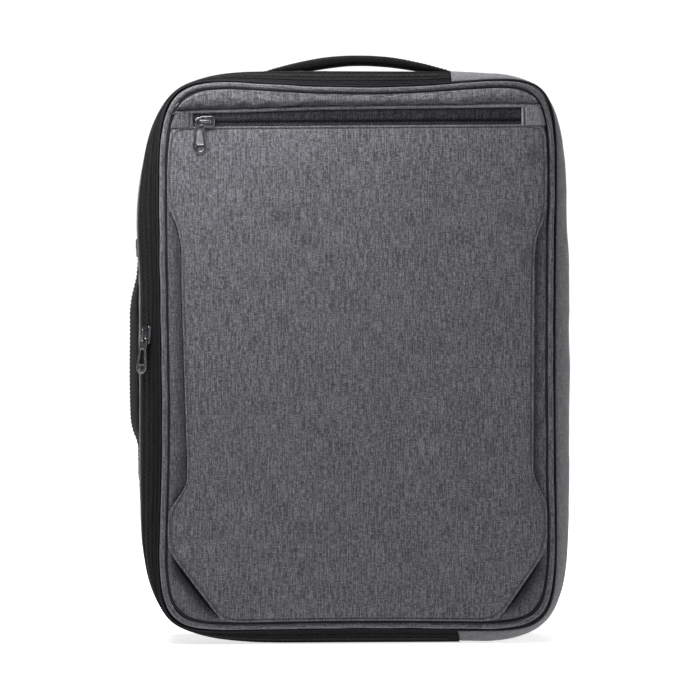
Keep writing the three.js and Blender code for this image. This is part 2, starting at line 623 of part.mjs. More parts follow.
// Zip slider: a plate with a bridge over it. Its own x runs along the zip and its z out of the cloth.
function sliderGeometry() {
  const half = SLIDER_LENGTH / 2;
  const wide = SLIDER_WIDTH / 2;
  const narrow = SLIDER_NARROW_WIDTH / 2;
  const plate = new THREE.Shape();
  plate.moveTo(half - 2, -wide);
  plate.quadraticCurveTo(half, -wide, half, -wide + 2);
  plate.lineTo(half, wide - 2);
  plate.quadraticCurveTo(half, wide, half - 2, wide);
  plate.lineTo(0, wide);
  plate.quadraticCurveTo(-half * 0.5, wide, -half, narrow);
  plate.lineTo(-half, -narrow);
  plate.quadraticCurveTo(-half * 0.5, -wide, 0, -wide);
  plate.closePath();

  const reach = BRIDGE_LENGTH / 2;
  const inner = reach - BRIDGE_FOOT;
  const high = BRIDGE_GAP + BRIDGE_BAR;
  const root = -SLIDER_PLATE / 2;
  const arch = new THREE.Shape();
  arch.moveTo(-reach, root);
  arch.lineTo(-reach, high - 1.2);
  arch.quadraticCurveTo(-reach, high, -reach + 1.4, high);
  arch.lineTo(reach - 1.4, high);
  arch.quadraticCurveTo(reach, high, reach, high - 1.2);
  arch.lineTo(reach, root);
  arch.lineTo(inner, root);
  arch.lineTo(inner, BRIDGE_GAP - 0.4);
  arch.lineTo(inner - 0.4, BRIDGE_GAP);
  arch.lineTo(-inner + 0.4, BRIDGE_GAP);
  arch.lineTo(-inner, BRIDGE_GAP - 0.4);
  arch.lineTo(-inner, root);
  arch.closePath();
  const bridge = extrude(arch, BRIDGE_WIDTH, -BRIDGE_WIDTH / 2, 3);
  bridge.rotateX(Math.PI / 2);
  bridge.translate(0, 0, SLIDER_PLATE);
  return toGeometry(toManifold(extrude(plate, SLIDER_PLATE, 0, 4)).add(toManifold(bridge)));
}

// Puller: a flat tab that widens from its ring to its round end, with a sunk field and a cord hole.
// Its own y runs from the end to the ring, whose middle is the origin.
function pullerGeometry() {
  const endHalf = PULLER_END_WIDTH / 2;
  const round = PULLER_REACH - endHalf;
  const tab = new THREE.Shape();
  tab.absarc(0, 0, RING_RADIUS, 0, Math.PI, false);
  tab.lineTo(-RING_RADIUS * 0.93, -RECESS_TOP);
  tab.lineTo(-endHalf, -round);
  tab.absarc(0, -round, endHalf, Math.PI, FULL_TURN, false);
  tab.lineTo(RING_RADIUS * 0.93, -RECESS_TOP);
  tab.closePath();
  const eye = new THREE.Path();
  eye.absarc(0, 0, RING_HOLE_RADIUS, 0, FULL_TURN, true);
  tab.holes.push(eye);
  const cordHole = new THREE.Path();
  const holeHalf = CORD_HOLE_WIDTH / 2;
  const holeFoot = -PULLER_REACH + CORD_HOLE_RIM;
  const holeTop = holeFoot + CORD_HOLE_HEIGHT;
  const holeShoulder = holeFoot + CORD_HOLE_HEIGHT * 0.6;
  cordHole.moveTo(-holeHalf, holeTop);
  cordHole.lineTo(holeHalf, holeTop);
  cordHole.lineTo(holeHalf, holeShoulder);
  cordHole.quadraticCurveTo(holeHalf * 0.8, holeFoot, 0, holeFoot);
  cordHole.quadraticCurveTo(-holeHalf * 0.8, holeFoot, -holeHalf, holeShoulder);
  cordHole.closePath();
  tab.holes.push(cordHole);
  const body = toManifold(extrude(tab, PULLER_THICKNESS, -PULLER_THICKNESS / 2));

  const field = new THREE.Shape();
  field.moveTo(-RECESS_WIDTH * 0.4, -RECESS_TOP);
  field.lineTo(-RECESS_WIDTH / 2, -RECESS_BOTTOM);
  field.lineTo(RECESS_WIDTH / 2, -RECESS_BOTTOM);
  field.lineTo(RECESS_WIDTH * 0.4, -RECESS_TOP);
  field.closePath();
  const sunk = toManifold(extrude(field, RECESS_DEPTH * 2, PULLER_THICKNESS / 2 - RECESS_DEPTH));
  return toGeometry(body.subtract(sunk));
}

// Sets a mesh by the way along its own x, the way out of the cloth, and its origin
function setFrame(mesh, origin, along, out) {
  const side = new THREE.Vector3().crossVectors(out, along);
  mesh.quaternion.setFromRotationMatrix(new THREE.Matrix4().makeBasis(along, side, out));
  mesh.position.copy(origin);
}

const RING_LEVEL = SLIDER_PLATE + BRIDGE_GAP / 2; // of the puller's middle over the cloth under the slider

function buildFrontSlider() {
  const x = -FRONT_ZIP_LENGTH / 2 + FRONT_SLIDER_INSET;
  const z = FRONT_ZIP_LINE;
  const out = new THREE.Vector3(0, -1, 0);
  const lipUnder = frontFace(x, z - SLIDER_WIDTH / 2) - CLEARANCE - POCKET_EDGE;
  const seat = new THREE.Vector3(x, lipUnder - CLEARANCE, z);
  setFrame(place('front_zip_slider', sliderGeometry(), gunmetal), seat, new THREE.Vector3(1, 0, 0), out);
  const foot = -(BRIDGE_LENGTH - BRIDGE_FOOT) / 2;
  const ring = seat.clone().addScaledVector(out, RING_LEVEL)
    .add(new THREE.Vector3(foot, 0, -PULLER_SLACK));
  setFrame(place('front_zip_puller', pullerGeometry(), gunmetal), ring, new THREE.Vector3(1, 0, 0), out);
}

// Direction from the body's middle at which the main zip passes a height on the left side
function leftAngleAt(height) {
  const row = GUSSET_PROFILE[ZIP_ROW];
  let low = Math.PI / 2;
  let high = Math.PI * 1.5;
  for (let i = 0; i < 40; i++) {
    const middle = (low + high) / 2;
    if (outlinePoint(middle, insetOf(row), row.square).z > height) low = middle;
    else high = middle;
  }
  return (low + high) / 2;
}

function buildMainSlider() {
  const { point, out } = gussetPlace(leftAngleAt(MAIN_SLIDER_HEIGHT), ZIP_ROW);
  out.z = 0;
  out.normalize();
  const seat = point.clone().addScaledVector(out, CLEARANCE + COIL_HEIGHT + CLEARANCE);
  setFrame(place('main_zip_slider', sliderGeometry(), gunmetal), seat, UP, out);
  const lean = THREE.MathUtils.degToRad(MAIN_PULLER_LEAN);
  const upwards = UP.clone().applyAxisAngle(out, -lean);
  const across = new THREE.Vector3().crossVectors(upwards, out);
  const barMiddle = (RING_RADIUS + RING_HOLE_RADIUS) / 2;
  const ring = seat.clone().addScaledVector(out, RING_LEVEL)
    .addScaledVector(UP, MAIN_PULLER_PIVOT)
    .addScaledVector(upwards, -barMiddle);
  setFrame(place('main_zip_puller', pullerGeometry(), gunmetal), ring, across, out);
}

// A strap of flattened section along a line of places. Each place has a middle, a width and a thickness,
// and faces says which way the strap's flat side looks.
function strapLoops(places, faces) {
  const corners = [[-1, -0.5], [-0.86, -1], [0.86, -1], [1, -0.5], [1, 0.5], [0.86, 1], [-0.86, 1], [-1, 0.5]];
  return places.map(({ middle, width, thickness }, i) => {
    const before = places[Math.max(0, i - 1)].middle;
    const after = places[Math.min(places.length - 1, i + 1)].middle;
    const tangent = after.clone().sub(before).normalize();
    const across = new THREE.Vector3().crossVectors(faces, tangent).normalize();
    const out = new THREE.Vector3().crossVectors(tangent, across);
    return corners.map(([u, v]) => middle.clone()
      .addScaledVector(across, u * width / 2)
      .addScaledVector(out, v * thickness / 2));
  });
}

// Both halves of a handle from its half profile. at(along, high) gives the middle of the section.
function handlePlaces(profile, size, at) {
  const halves = [...profile.map((row) => ({ ...row, along: -row.along })), ...[...profile].reverse().slice(1)];
  return halves.map((row) => {
    const thickness = mix(HANDLE_END_THICKNESS, size.thickness, row.thick);
    const outer = Math.max(row.rise * size.rise, CLEARANCE + thickness);
    return {
      middle: at(row.along * size.length / 2, outer - thickness / 2),
      width: row.wide * size.width,
      thickness,
    };
  });
}

function buildHandles() {
  const topSize = {
    length: TOP_HANDLE_LENGTH, width: TOP_HANDLE_WIDTH,
    thickness: TOP_HANDLE_THICKNESS, rise: TOP_HANDLE_RISE,
  };
  const topPlaces = handlePlaces(TOP_HANDLE_PROFILE, topSize, (along, high) =>
    new THREE.Vector3(TOP_HANDLE_MIDDLE + along, TOP_HANDLE_BACK, BODY_HEIGHT + high));
  place('top_handle', sweep(strapLoops(topPlaces, UP), false), blackCloth);

  const sideSize = {
    length: SIDE_HANDLE_LENGTH, width: SIDE_HANDLE_WIDTH,
    thickness: SIDE_HANDLE_THICKNESS, rise: SIDE_HANDLE_RISE,
  };
  const left = new THREE.Vector3(-1, 0, 0);
  const sidePlaces = handlePlaces(SIDE_HANDLE_PROFILE, sideSize, (along, high) =>
    new THREE.Vector3(-BODY_WIDTH / 2 - high, SIDE_HANDLE_BACK, SIDE_HANDLE_HEIGHT + along));
  place('side_handle', sweep(strapLoops(sidePlaces, left), false), blackCloth);

  // Cloth tabs sewn over the side handle's two ends, which rise over the handle and drop at their rims
  const tabs = { side_handle_tab_lower: -1, side_handle_tab_upper: 1 };
  for (const [name, end] of Object.entries(tabs)) {
    const outerEnd = SIDE_HANDLE_HEIGHT + end * (SIDE_HANDLE_LENGTH / 2 + CLEARANCE);
    const middle = (high) => new THREE.Vector3(-BODY_WIDTH / 2 - CLEARANCE - HANDLE_TAB_WALL / 2,
      SIDE_HANDLE_BACK, outerEnd + end * high);
    const tabPlaces = [0, 1 / 3, 2 / 3, 1].map((share) => ({
      middle: middle(share * HANDLE_TAB_LENGTH),
      width: HANDLE_TAB_WIDTH * (1 - 0.12 * share ** 2),
      thickness: HANDLE_TAB_WALL * (1 - 0.25 * share ** 2),
    }));
    place(name, sweep(strapLoops(tabPlaces, left), false), greyCloth);
  }
}

function buildBackPad() {
  const halfWidth = BACK_PAD_WIDTH / 2;
  const halfHeight = BACK_PAD_HEIGHT / 2;
  const count = 44;
  const rim = Array.from({ length: count }, (_, i) => {
    const angle = FULL_TURN * i / count;
    const c = Math.cos(angle);
    const s = Math.sin(angle);
    const power = 2 / BACK_PAD_CORNER;
    return {
      x: Math.sign(c) * Math.abs(c) ** power * halfWidth,
      z: BACK_PAD_MIDDLE + Math.sign(s) * Math.abs(s) ** power * halfHeight,
    };
  });
  const edge = 20;
  const thickness = (x, z) => {
    const inwards = Math.min(halfWidth - Math.abs(x), halfHeight - Math.abs(z - BACK_PAD_MIDDLE));
    return mix(BACK_PAD_EDGE, BACK_PAD_WALL, ease(inwards / edge));
  };
  const low = (x, z) => backFace(x, z) + CLEARANCE;
  const high = (x, z) => low(x, z) + thickness(x, z);
  const pad = roundSheet(rim, { x: 0, z: BACK_PAD_MIDDLE }, [0.5, 0.85, 1], high, low);
  place('back_pad', pad, blackMesh);
}

function buildStraps() {
  const yokeTop = YOKE_BOTTOM + YOKE_HEIGHT;
  const yoke = stripColumns(-YOKE_WIDTH / 2, YOKE_WIDTH / 2, YOKE_BOTTOM, yokeTop, 10);
  const roll = (share) => YOKE_WALL * (0.62 + 0.38 * Math.sin(Math.PI * share));
  place('strap_yoke', strip(yoke, 4, backFace, 1, roll), blackCloth);
  for (const [side, hand] of [['left', -1], ['right', 1]]) buildStrap(side, hand);
}

function buildStrap(side, hand) {
  const startDepth = backFace(STRAP_SPACING / 2, YOKE_BOTTOM) + CLEARANCE + STRAP_THICKNESS / 4;
  const places = STRAP_PROFILE.map((row) => ({
    middle: new THREE.Vector3(hand * (STRAP_SPACING / 2 + STRAP_SPREAD * row.out),
      startDepth + STRAP_BOW * row.bow, YOKE_BOTTOM - 2 * CLEARANCE - STRAP_LENGTH * row.down),
    width: STRAP_WIDTH * row.wide,
    thickness: STRAP_THICKNESS * row.thick,
  }));
  place(`shoulder_strap_${side}`, sweep(strapLoops(places, BACKWARDS), false), blackCloth);

  // The buckle carries on in line with the strap's low end, and the webbing bends from it to the foot tab
  const end = places[places.length - 1].middle;
  const footHalf = STRAP_FOOT_SIZE / 2;
  const footDepth = backFace(STRAP_FOOT_SIDE - footHalf, STRAP_FOOT_HEIGHT + footHalf) + CLEARANCE;
  const along = end.clone().sub(places[places.length - 2].middle).normalize();
  const across = new THREE.Vector3().crossVectors(BACKWARDS, along).normalize();
  const out = new THREE.Vector3().crossVectors(along, across);
  const buckleStart = 2 * CLEARANCE;
  const buckle = place(`strap_buckle_${side}`, buckleGeometry(), blackPlastic);
  setFrame(buckle, end.clone().addScaledVector(along, buckleStart + BUCKLE_HEIGHT / 2), along, out);

  const webbingStart = end.clone().addScaledVector(along, buckleStart + BUCKLE_HEIGHT + CLEARANCE);
  const webbingBend = webbingStart.clone().addScaledVector(along, WEBBING_WIDTH / 4);
  const onTab = (high) => new THREE.Vector3(hand * STRAP_FOOT_SIDE,
    footDepth + STRAP_FOOT_WALL + CLEARANCE + WEBBING_THICKNESS / 2, STRAP_FOOT_HEIGHT + footHalf * high);
  const line = [webbingStart, webbingBend, webbingBend.clone().lerp(onTab(1), 0.5), onTab(1), onTab(0.3)];
  const webbing = line.map((middle) => ({ middle, width: WEBBING_WIDTH, thickness: WEBBING_THICKNESS }));
  place(`strap_webbing_${side}`, sweep(strapLoops(webbing, BACKWARDS), false), blackCloth);

  const tab = new THREE.Shape();
  tab.moveTo(-hand * footHalf * 0.85, footHalf);
  tab.lineTo(hand * footHalf * 0.85, footHalf);
  tab.lineTo(hand * footHalf, -footHalf);
  tab.lineTo(-hand * footHalf * 0.1, -footHalf);
  tab.closePath();
  const footTab = place(`strap_foot_${side}`, extrude(tab, STRAP_FOOT_WALL), blackCloth);
  const footMiddle = new THREE.Vector3(hand * STRAP_FOOT_SIDE, footDepth + STRAP_FOOT_WALL, STRAP_FOOT_HEIGHT);
  footTab.quaternion.setFromRotationMatrix(new THREE.Matrix4().makeBasis(
    new THREE.Vector3(1, 0, 0), UP, new THREE.Vector3(0, -1, 0)));
  footTab.position.copy(footMiddle);
}

// Ladder lock: a flat frame with two slots. Its own x runs down the strap.
function buckleGeometry() {
  const half = BUCKLE_HEIGHT / 2;
  const wide = BUCKLE_WIDTH / 2;
  const frame = new THREE.Shape();
  frame.moveTo(-half, -wide * 0.82);
  frame.lineTo(half - BUCKLE_ROUND, -wide);
  frame.quadraticCurveTo(half, -wide, half, -wide + BUCKLE_ROUND);
  frame.lineTo(half, wide - BUCKLE_ROUND);
  frame.quadraticCurveTo(half, wide, half - BUCKLE_ROUND, wide);
  frame.lineTo(-half, wide * 0.82);
  frame.closePath();
  for (const [middle, slack] of [[-BUCKLE_HEIGHT * 0.24, 1], [BUCKLE_HEIGHT * 0.2, 2]]) {
    const slot = new THREE.Path();
    const reach = (WEBBING_WIDTH + slack) / 2;
    slot.moveTo(middle - BUCKLE_SLOT_HEIGHT / 2, -reach);
    slot.lineTo(middle - BUCKLE_SLOT_HEIGHT / 2, reach);
    slot.lineTo(middle + BUCKLE_SLOT_HEIGHT / 2, reach);
    slot.lineTo(middle + BUCKLE_SLOT_HEIGHT / 2, -reach);
    slot.closePath();
    frame.holes.push(slot);
  }
  return extrude(frame, BUCKLE_THICKNESS, -BUCKLE_THICKNESS / 2, 3);
}

buildPanels();
buildPiping('front_piping', -BODY_DEPTH / 2 - CLEARANCE / 2);
buildPiping('rear_piping', BODY_DEPTH / 2 + CLEARANCE / 2);
buildGusset();
buildFrontPocket();
buildFrontZip();
buildFrontSlider();
buildMainSlider();
buildHandles();
buildBackPad();
buildStraps();

export default bag;
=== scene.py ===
"""Looks of the convertible backpack: cloth, piping, zips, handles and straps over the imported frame.

Metres, +Z up, the front faces -Y. Surfaces are grids worked out with numpy. The body's outline is the same
superellipse as the frame's solids: reach(angle) = (|cos/a|^n + |sin/b|^n)^(-1/n), with its own n per corner.
"""

import json
import logging
import math
from dataclasses import dataclass, field, replace
from enum import Enum
from typing import Callable, Optional, Sequence, Union

import bmesh
import bpy
import numpy as np
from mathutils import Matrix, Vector


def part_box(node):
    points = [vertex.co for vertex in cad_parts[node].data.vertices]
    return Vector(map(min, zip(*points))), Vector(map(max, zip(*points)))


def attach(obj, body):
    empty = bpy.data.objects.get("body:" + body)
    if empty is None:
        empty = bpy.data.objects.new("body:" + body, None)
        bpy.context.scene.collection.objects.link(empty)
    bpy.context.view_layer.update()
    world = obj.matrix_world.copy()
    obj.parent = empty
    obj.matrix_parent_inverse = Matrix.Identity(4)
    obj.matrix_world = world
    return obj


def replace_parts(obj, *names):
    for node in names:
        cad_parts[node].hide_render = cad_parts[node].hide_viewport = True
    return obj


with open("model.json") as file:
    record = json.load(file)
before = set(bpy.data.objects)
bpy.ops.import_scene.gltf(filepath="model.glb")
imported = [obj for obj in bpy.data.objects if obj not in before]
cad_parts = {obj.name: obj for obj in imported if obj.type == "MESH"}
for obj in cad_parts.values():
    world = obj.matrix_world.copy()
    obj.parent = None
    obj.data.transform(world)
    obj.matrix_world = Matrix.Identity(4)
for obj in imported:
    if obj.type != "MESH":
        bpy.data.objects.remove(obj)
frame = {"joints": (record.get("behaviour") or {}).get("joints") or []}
log = logging.getLogger("backpack")

MM = 0.001
TURN = 2 * math.pi
Array = np.ndarray
Socket = Union[float, Sequence[float], bpy.types.NodeSocket]
Path = tuple[tuple[float, float], ...]
Material = bpy.types.Material
Mesh = bpy.types.Mesh
Piece = bpy.types.Object
FORWARD = np.array([0.0, -1.0, 0.0])


class Colour(Enum):
    """Base colours, linear."""

    HEATHER_DARK = (0.0301, 0.0295, 0.0336)
    HEATHER_LIGHT = (0.150, 0.1467, 0.1615)
    # Heather darkened as painted shade, for the front panel where it shows beside the pocket.
    SHADED_DARK = (0.031, 0.0305, 0.033)
    SHADED_LIGHT = (0.138, 0.1354, 0.146)
    BLACK = (0.0031, 0.0031, 0.0035)
    BLACK_LIFT = (0.011, 0.011, 0.0128)
    TAPE = (0.004, 0.004, 0.0045)
    TAPE_LIFT = (0.037, 0.037, 0.042)
    GUNMETAL = (0.17, 0.17, 0.18)
    INLAY = (0.26, 0.258, 0.27)
    GREY_THREAD = (0.048, 0.047, 0.052)
    BLACK_THREAD = (0.010, 0.010, 0.011)
    # SHADE: the colour of painted shade, in the cloth's shading marks and on the sheet under the pocket's
    # edges; also the plain black of the front coil and of the main puller's sunk field.
    SHADE = (0.006, 0.006, 0.007)
    # SEAM: painted shade in the grooves beside the piping.
    SEAM = (0.016, 0.016, 0.018)
    # PAINTED_LIGHT: the colour of painted light, on folds and lips and on lighter sides.
    PAINTED_LIGHT = (0.30, 0.295, 0.315)
    FLOOR = (0.93, 0.93, 0.935)


# Small tools for arrays


def unit(vectors: Array) -> Array:
    """Returns the vectors scaled to length one, over the last axis."""
    return vectors / np.maximum(np.linalg.norm(vectors, axis=-1, keepdims=True), 1e-12)


def ease(share: Array) -> Array:
    """Returns the smooth step t*t*(3 - 2*t) of a share held between 0 and 1."""
    t = np.clip(share, 0, 1)
    return t * t * (3 - 2 * t)


def hump(value: Array, middle: float, width: float) -> Array:
    """Returns the bell exp(-((value - middle) / width)^2)."""
    return np.exp(-(((value - middle) / width) ** 2))


def undulation(x: Array, z: Array, length: float, seed: int, octaves: int = 2) -> Array:
    """Gentle unevenness of cloth, as a sum of plane waves in random directions.

    Args:
        x: first coordinate, in metres.
        z: second coordinate, in metres.
        length: longest wavelength, in metres.
        seed: picks the directions and phases.
        octaves: each further one has half the wavelength and half the height.

    Returns:
        Heights of about -1 to 1.
    """
    rng = np.random.default_rng(seed)
    total = np.zeros(np.broadcast(x, z).shape)
    for octave in range(octaves):
        for _ in range(5):
            angle, phase = rng.uniform(0, TURN, 2)
            rate = TURN / length * 2**octave * rng.uniform(0.7, 1.3)
            wave = np.sin(rate * (x * math.cos(angle) + z * math.sin(angle)) + phase)
            total = total + wave / 2**octave
    return total / 3.2


def smooth_rows(table: Array, count: int) -> Array:
    """Points on the Catmull-Rom curve through the rows of a table.

    Args:
        table: rows of values, shape (rows, columns).
        count: number of rows wanted, evenly over the table.

    Returns:
        The resampled table, shape (count, columns).
    """
    padded = np.vstack([2 * table[0] - table[1], table, 2 * table[-1] - table[-2]])
    place = np.linspace(0, len(table) - 1, count)
    i = np.minimum(place.astype(int), len(table) - 2)
    t = (place - i)[:, None]
    before, here, after, beyond = padded[i], padded[i + 1], padded[i + 2], padded[i + 3]
    return 0.5 * (
        2 * here
        + (after - before) * t
        + (2 * before - 5 * here + 4 * after - beyond) * t**2
        + (3 * here - before - 3 * after + beyond) * t**3
    )


def arc_length(points: Array) -> Array:
    """Returns the running length along a line of points, starting at 0."""
    steps = np.linalg.norm(np.diff(points, axis=0), axis=1)
    return np.concatenate([[0], np.cumsum(steps)])


def resample(points: Array, places: Array) -> Array:
    """Points, or rows of any values led by three coordinates, at given lengths along a line.

    Args:
        points: shape (n, 3 or more); the first three columns are the place.
        places: lengths from the line's start, in metres.

    Returns:
        Interpolated rows, shape (len(places), columns).
    """
    run = arc_length(points[:, :3])
    return np.stack([np.interp(places, run, column) for column in points.T], axis=1)


def beads(rows: Array, count: int, step: float) -> tuple[Array, Array, Array, Array]:
    """Places at even distances along a line, and the directions there.

    Args:
        rows: the line and its outward direction, shape (n, 6).
        count: number of places.
        step: how far ahead and behind the direction along is taken.

    Returns:
        The places, and the directions along, outwards and sideways, each of shape (count, 3).
    """
    total = arc_length(rows[:, :3])[-1]
    middles = (np.arange(count) + 0.5) * total / count
    here = resample(rows, middles)
    ahead = resample(rows, np.minimum(middles + step, total))
    behind = resample(rows, np.maximum(middles - step, 0))
    along = unit(ahead[:, :3] - behind[:, :3])
    outwards = unit(here[:, 3:])
    return here[:, :3], along, outwards, unit(np.cross(along, outwards))


def sideways(line: Array) -> Array:
    """Returns the unit normals of a closed line (x, z), to the right of its direction."""
    along = np.roll(line, -1, axis=0) - np.roll(line, 1, axis=0)
    return unit(np.stack([along[:, 1], -along[:, 0]], axis=1))


class Builder:
    """Collects grids of points into one mesh object."""

    def __init__(self, name: str) -> None:
        """Starts an empty mesh under a name."""
        self.name = name
        self.points: list[Array] = []
        self.faces: list[Array] = []
        self.caps: list[list[int]] = []
        self.uvs: list[Array] = []
        self.cap_uvs: list[Array] = []
        self.count = 0

    def grid(
        self,
        points: Array,
        uv: Optional[Array] = None,
        wrap_rows: bool = False,
        wrap_columns: bool = False,
        capped: bool = False,
        away_from: Optional[Sequence[float]] = None,
    ) -> "Builder":
        """Adds a surface over a grid of points, with its faces turned outwards.

        Args:
            points: shape (rows, columns, 3).
            uv: pattern coordinates in metres, shape (rows + wrap, columns + wrap, 2).
            wrap_rows: the last row joins the first.
            wrap_columns: the last column joins the first.
            capped: the first and last row are closed by flat faces.
            away_from: a point behind the surface; without it, the grid is a closed body.

        Returns:
            This builder.
        """
        rows, columns = points.shape[:2]
        i = np.arange(rows if wrap_rows else rows - 1)[:, None]
        j = np.arange(columns if wrap_columns else columns - 1)[None, :]
        corner = [(i, j), (i + 1, j), (i + 1, j + 1), (i, j + 1)]
        face = np.stack([(a % rows) * columns + b % columns for a, b in corner], axis=-1).reshape(-1, 4)
        if uv is None:
            uv = np.zeros((rows + wrap_rows, columns + wrap_columns, 2))
        face_uv = np.stack([uv[a, b] for a, b in corner], axis=2).reshape(-1, 4, 2)
        flat = points.reshape(-1, 3)
        quad = flat[face]
        normal = np.cross(quad[:, 2] - quad[:, 0], quad[:, 3] - quad[:, 1])
        origin = flat.mean(axis=0) if away_from is None else np.asarray(away_from)
        outward = np.sum(normal * (quad.mean(axis=1) - origin)) > 0
        if not outward:
            face = face[:, ::-1]
            face_uv = face_uv[:, ::-1]
        self.faces.append(face + self.count)
        self.uvs.append(face_uv)
        if capped:
            first = np.arange(columns) + self.count
            last = first + (rows - 1) * columns
            ends = [first, last[::-1]] if outward else [first[::-1], last]
            self.caps += [end.tolist() for end in ends]
            self.cap_uvs += [np.zeros((columns, 2))] * 2
        self.points.append(flat)
        self.count += len(flat)
        return self

    def stitches(
        self, line: Array, out: Array, pitch: float, radius: float, closed: bool = False
    ) -> "Builder":
        """Adds a run of sewing stitches, each a short bent capsule.

        A capsule's radius over its length is sqrt(1 - (2u)^6), and its ends dive into the cloth.

        Args:
            line: the seam, shape (n, 3).
            out: the cloth's outward direction along it, shape (n, 3) or (3,).
            pitch: distance from one stitch to the next.
            radius: the thread's radius.
            closed: the last point joins the first.

        Returns:
            This builder.
        """
        rows = np.hstack([line, np.broadcast_to(out, line.shape)])
        if closed:
            rows = np.vstack([rows, rows[:1]])
        count = max(1, round(arc_length(rows[:, :3])[-1] / pitch))
        here, along, outwards, side = beads(rows, count, pitch * 0.37)
        share = np.array([-0.5, -0.4, -0.18, 0.18, 0.4, 0.5])
        girth = np.sqrt(np.maximum(1 - (2 * share) ** 6, 0.02))
        sink = -2.2 * radius * (2 * np.abs(share)) ** 4
        turn = np.arange(6) * TURN / 6
        length = pitch * 0.78
        ring = (
            here[:, None, None]
            + (along[:, None, None] * share[None, :, None, None]) * length
            + outwards[:, None, None] * (sink[None, :, None, None])
            + side[:, None, None] * (girth[:, None] * np.cos(turn) * radius)[None, :, :, None]
            + outwards[:, None, None] * (girth[:, None] * np.sin(turn) * radius)[None, :, :, None]
        )
        self.copies(ring)
        return self

    def copies(self, rings: Array) -> None:
        """Adds many small closed tubes of the same form.

        Args:
            rings: shape (copies, rows, columns, 3); the first and last row are nearly closed.

        Returns:
            None.
        """
        copies, rows, columns = rings.shape[:3]
        i = np.arange(rows - 1)[:, None]
        j = np.arange(columns)[None, :]
        k = (j + 1) % columns
        face = np.stack([i * columns + j, i * columns + k, (i + 1) * columns + k, (i + 1) * columns + j], -1)
        face = np.broadcast_to(face, (rows - 1, columns, 4)).reshape(-1, 4)
        flat = rings.reshape(copies, -1, 3)
        sample = flat[0][face]
        normal = np.cross(sample[:, 2] - sample[:, 0], sample[:, 3] - sample[:, 1])
        outward = np.sum(normal * (sample.mean(axis=1) - flat[0].mean(axis=0))) > 0
        if not outward:
            face = face[:, ::-1]
        start = self.count + np.arange(copies)[:, None, None] * rows * columns
        self.faces.append((face[None] + start).reshape(-1, 4))
        self.uvs.append(np.zeros((copies * len(face), 4, 2)))
        first = np.arange(columns)
        last = first + (rows - 1) * columns
        for end in (first[::-1], last) if outward else (first, last[::-1]):
            loops = end[None] + self.count + np.arange(copies)[:, None] * rows * columns
            self.caps += loops.tolist()
            self.cap_uvs += [np.zeros((columns, 2))] * copies
        self.points.append(flat.reshape(-1, 3))
        self.count += copies * rows * columns

    def object(self, finish: Material, body: str = "bag") -> Piece:
        """Makes the piece, with its pattern coordinates in the UV layer cloth.

        Args:
            finish: its material.
            body: the frame's body that it rides on.

        Returns:
            The new object.
        """
        return put_in(self.name, self.mesh(), finish, body)

    def sheet(self) -> Piece:
        """Returns the surface as a bare object for the cloth solver, in no frame."""
        bare = bpy.data.objects.new(self.name, self.mesh())
        bpy.context.scene.collection.objects.link(bare)
        return bare

    def mesh(self) -> Mesh:
        """Returns the surface as a smooth mesh, with its pattern coordinates in the UV layer cloth."""
        quads = np.concatenate(self.faces)
        corners = np.concatenate([quads.ravel()] + [np.array(c) for c in self.caps])
        sizes = np.concatenate([np.full(len(quads), 4), np.array([len(c) for c in self.caps], int)])
        uvs = np.concatenate([np.concatenate(self.uvs).reshape(-1, 2)] + self.cap_uvs)
        starts = np.concatenate([[0], np.cumsum(sizes)[:-1]])
        mesh = bpy.data.meshes.new(self.name)
        mesh.vertices.add(self.count)
        mesh.vertices.foreach_set("co", np.concatenate(self.points).astype(np.float32).ravel())
        mesh.loops.add(len(corners))
        mesh.loops.foreach_set("vertex_index", corners.astype(np.int32))
        mesh.polygons.add(len(sizes))
        mesh.polygons.foreach_set("loop_start", starts.astype(np.int32))
        mesh.update(calc_edges=True)
        layer = mesh.uv_layers.new(name="cloth")
        layer.data.foreach_set("uv", uvs.astype(np.float32).ravel())
        mesh.polygons.foreach_set("use_smooth", np.full(len(sizes), True))
        mesh.validate()
        return mesh


def put_in(name: str, mesh: Mesh, finish: Material, body: str) -> Piece:
    """Puts a mesh into the scene as a piece that rides on a body.

    Args:
        name: the object's name.
        mesh: its mesh, in the row frame.
        finish: its material.
        body: the frame's body.

    Returns:
        The new object.
    """
    mesh.materials.clear()
    mesh.materials.append(finish)
    piece = bpy.data.objects.new(name.replace(" ", "_"), mesh)
    bpy.context.scene.collection.objects.link(piece)
    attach(piece, body)
    log.info("%s: %d faces", name, len(mesh.polygons))
    return piece


def mark(piece: Piece, painted_shading: Array) -> None:
    """Sets a piece's points' attribute for painted shading: 1 paints full shade, 0 nothing, -1 paints light.
    """
    layer = piece.data.attributes.new("painted_shading", "FLOAT", "POINT")
    layer.data.foreach_set("value", painted_shading.ravel().astype(np.float32))


def tube(middles: Array, across: Array, out: Array, section: Array) -> Array:
    """A section carried along a line: point = middle + across * s0 + out * s1.

    Args:
        middles: shape (n, 3).
        across: the section's first direction, shape (n, 3).
        out: the section's second direction, shape (n, 3).
        section: shape (m, 2), or (n, m, 2) where it changes.

    Returns:
        Grid of points, shape (n, m, 3).
    """
    section = np.broadcast_to(section, (len(middles),) + section.shape[-2:])
    first = across[:, None] * section[..., :1]
    second = out[:, None] * section[..., 1:]
    return middles[:, None] + first + second


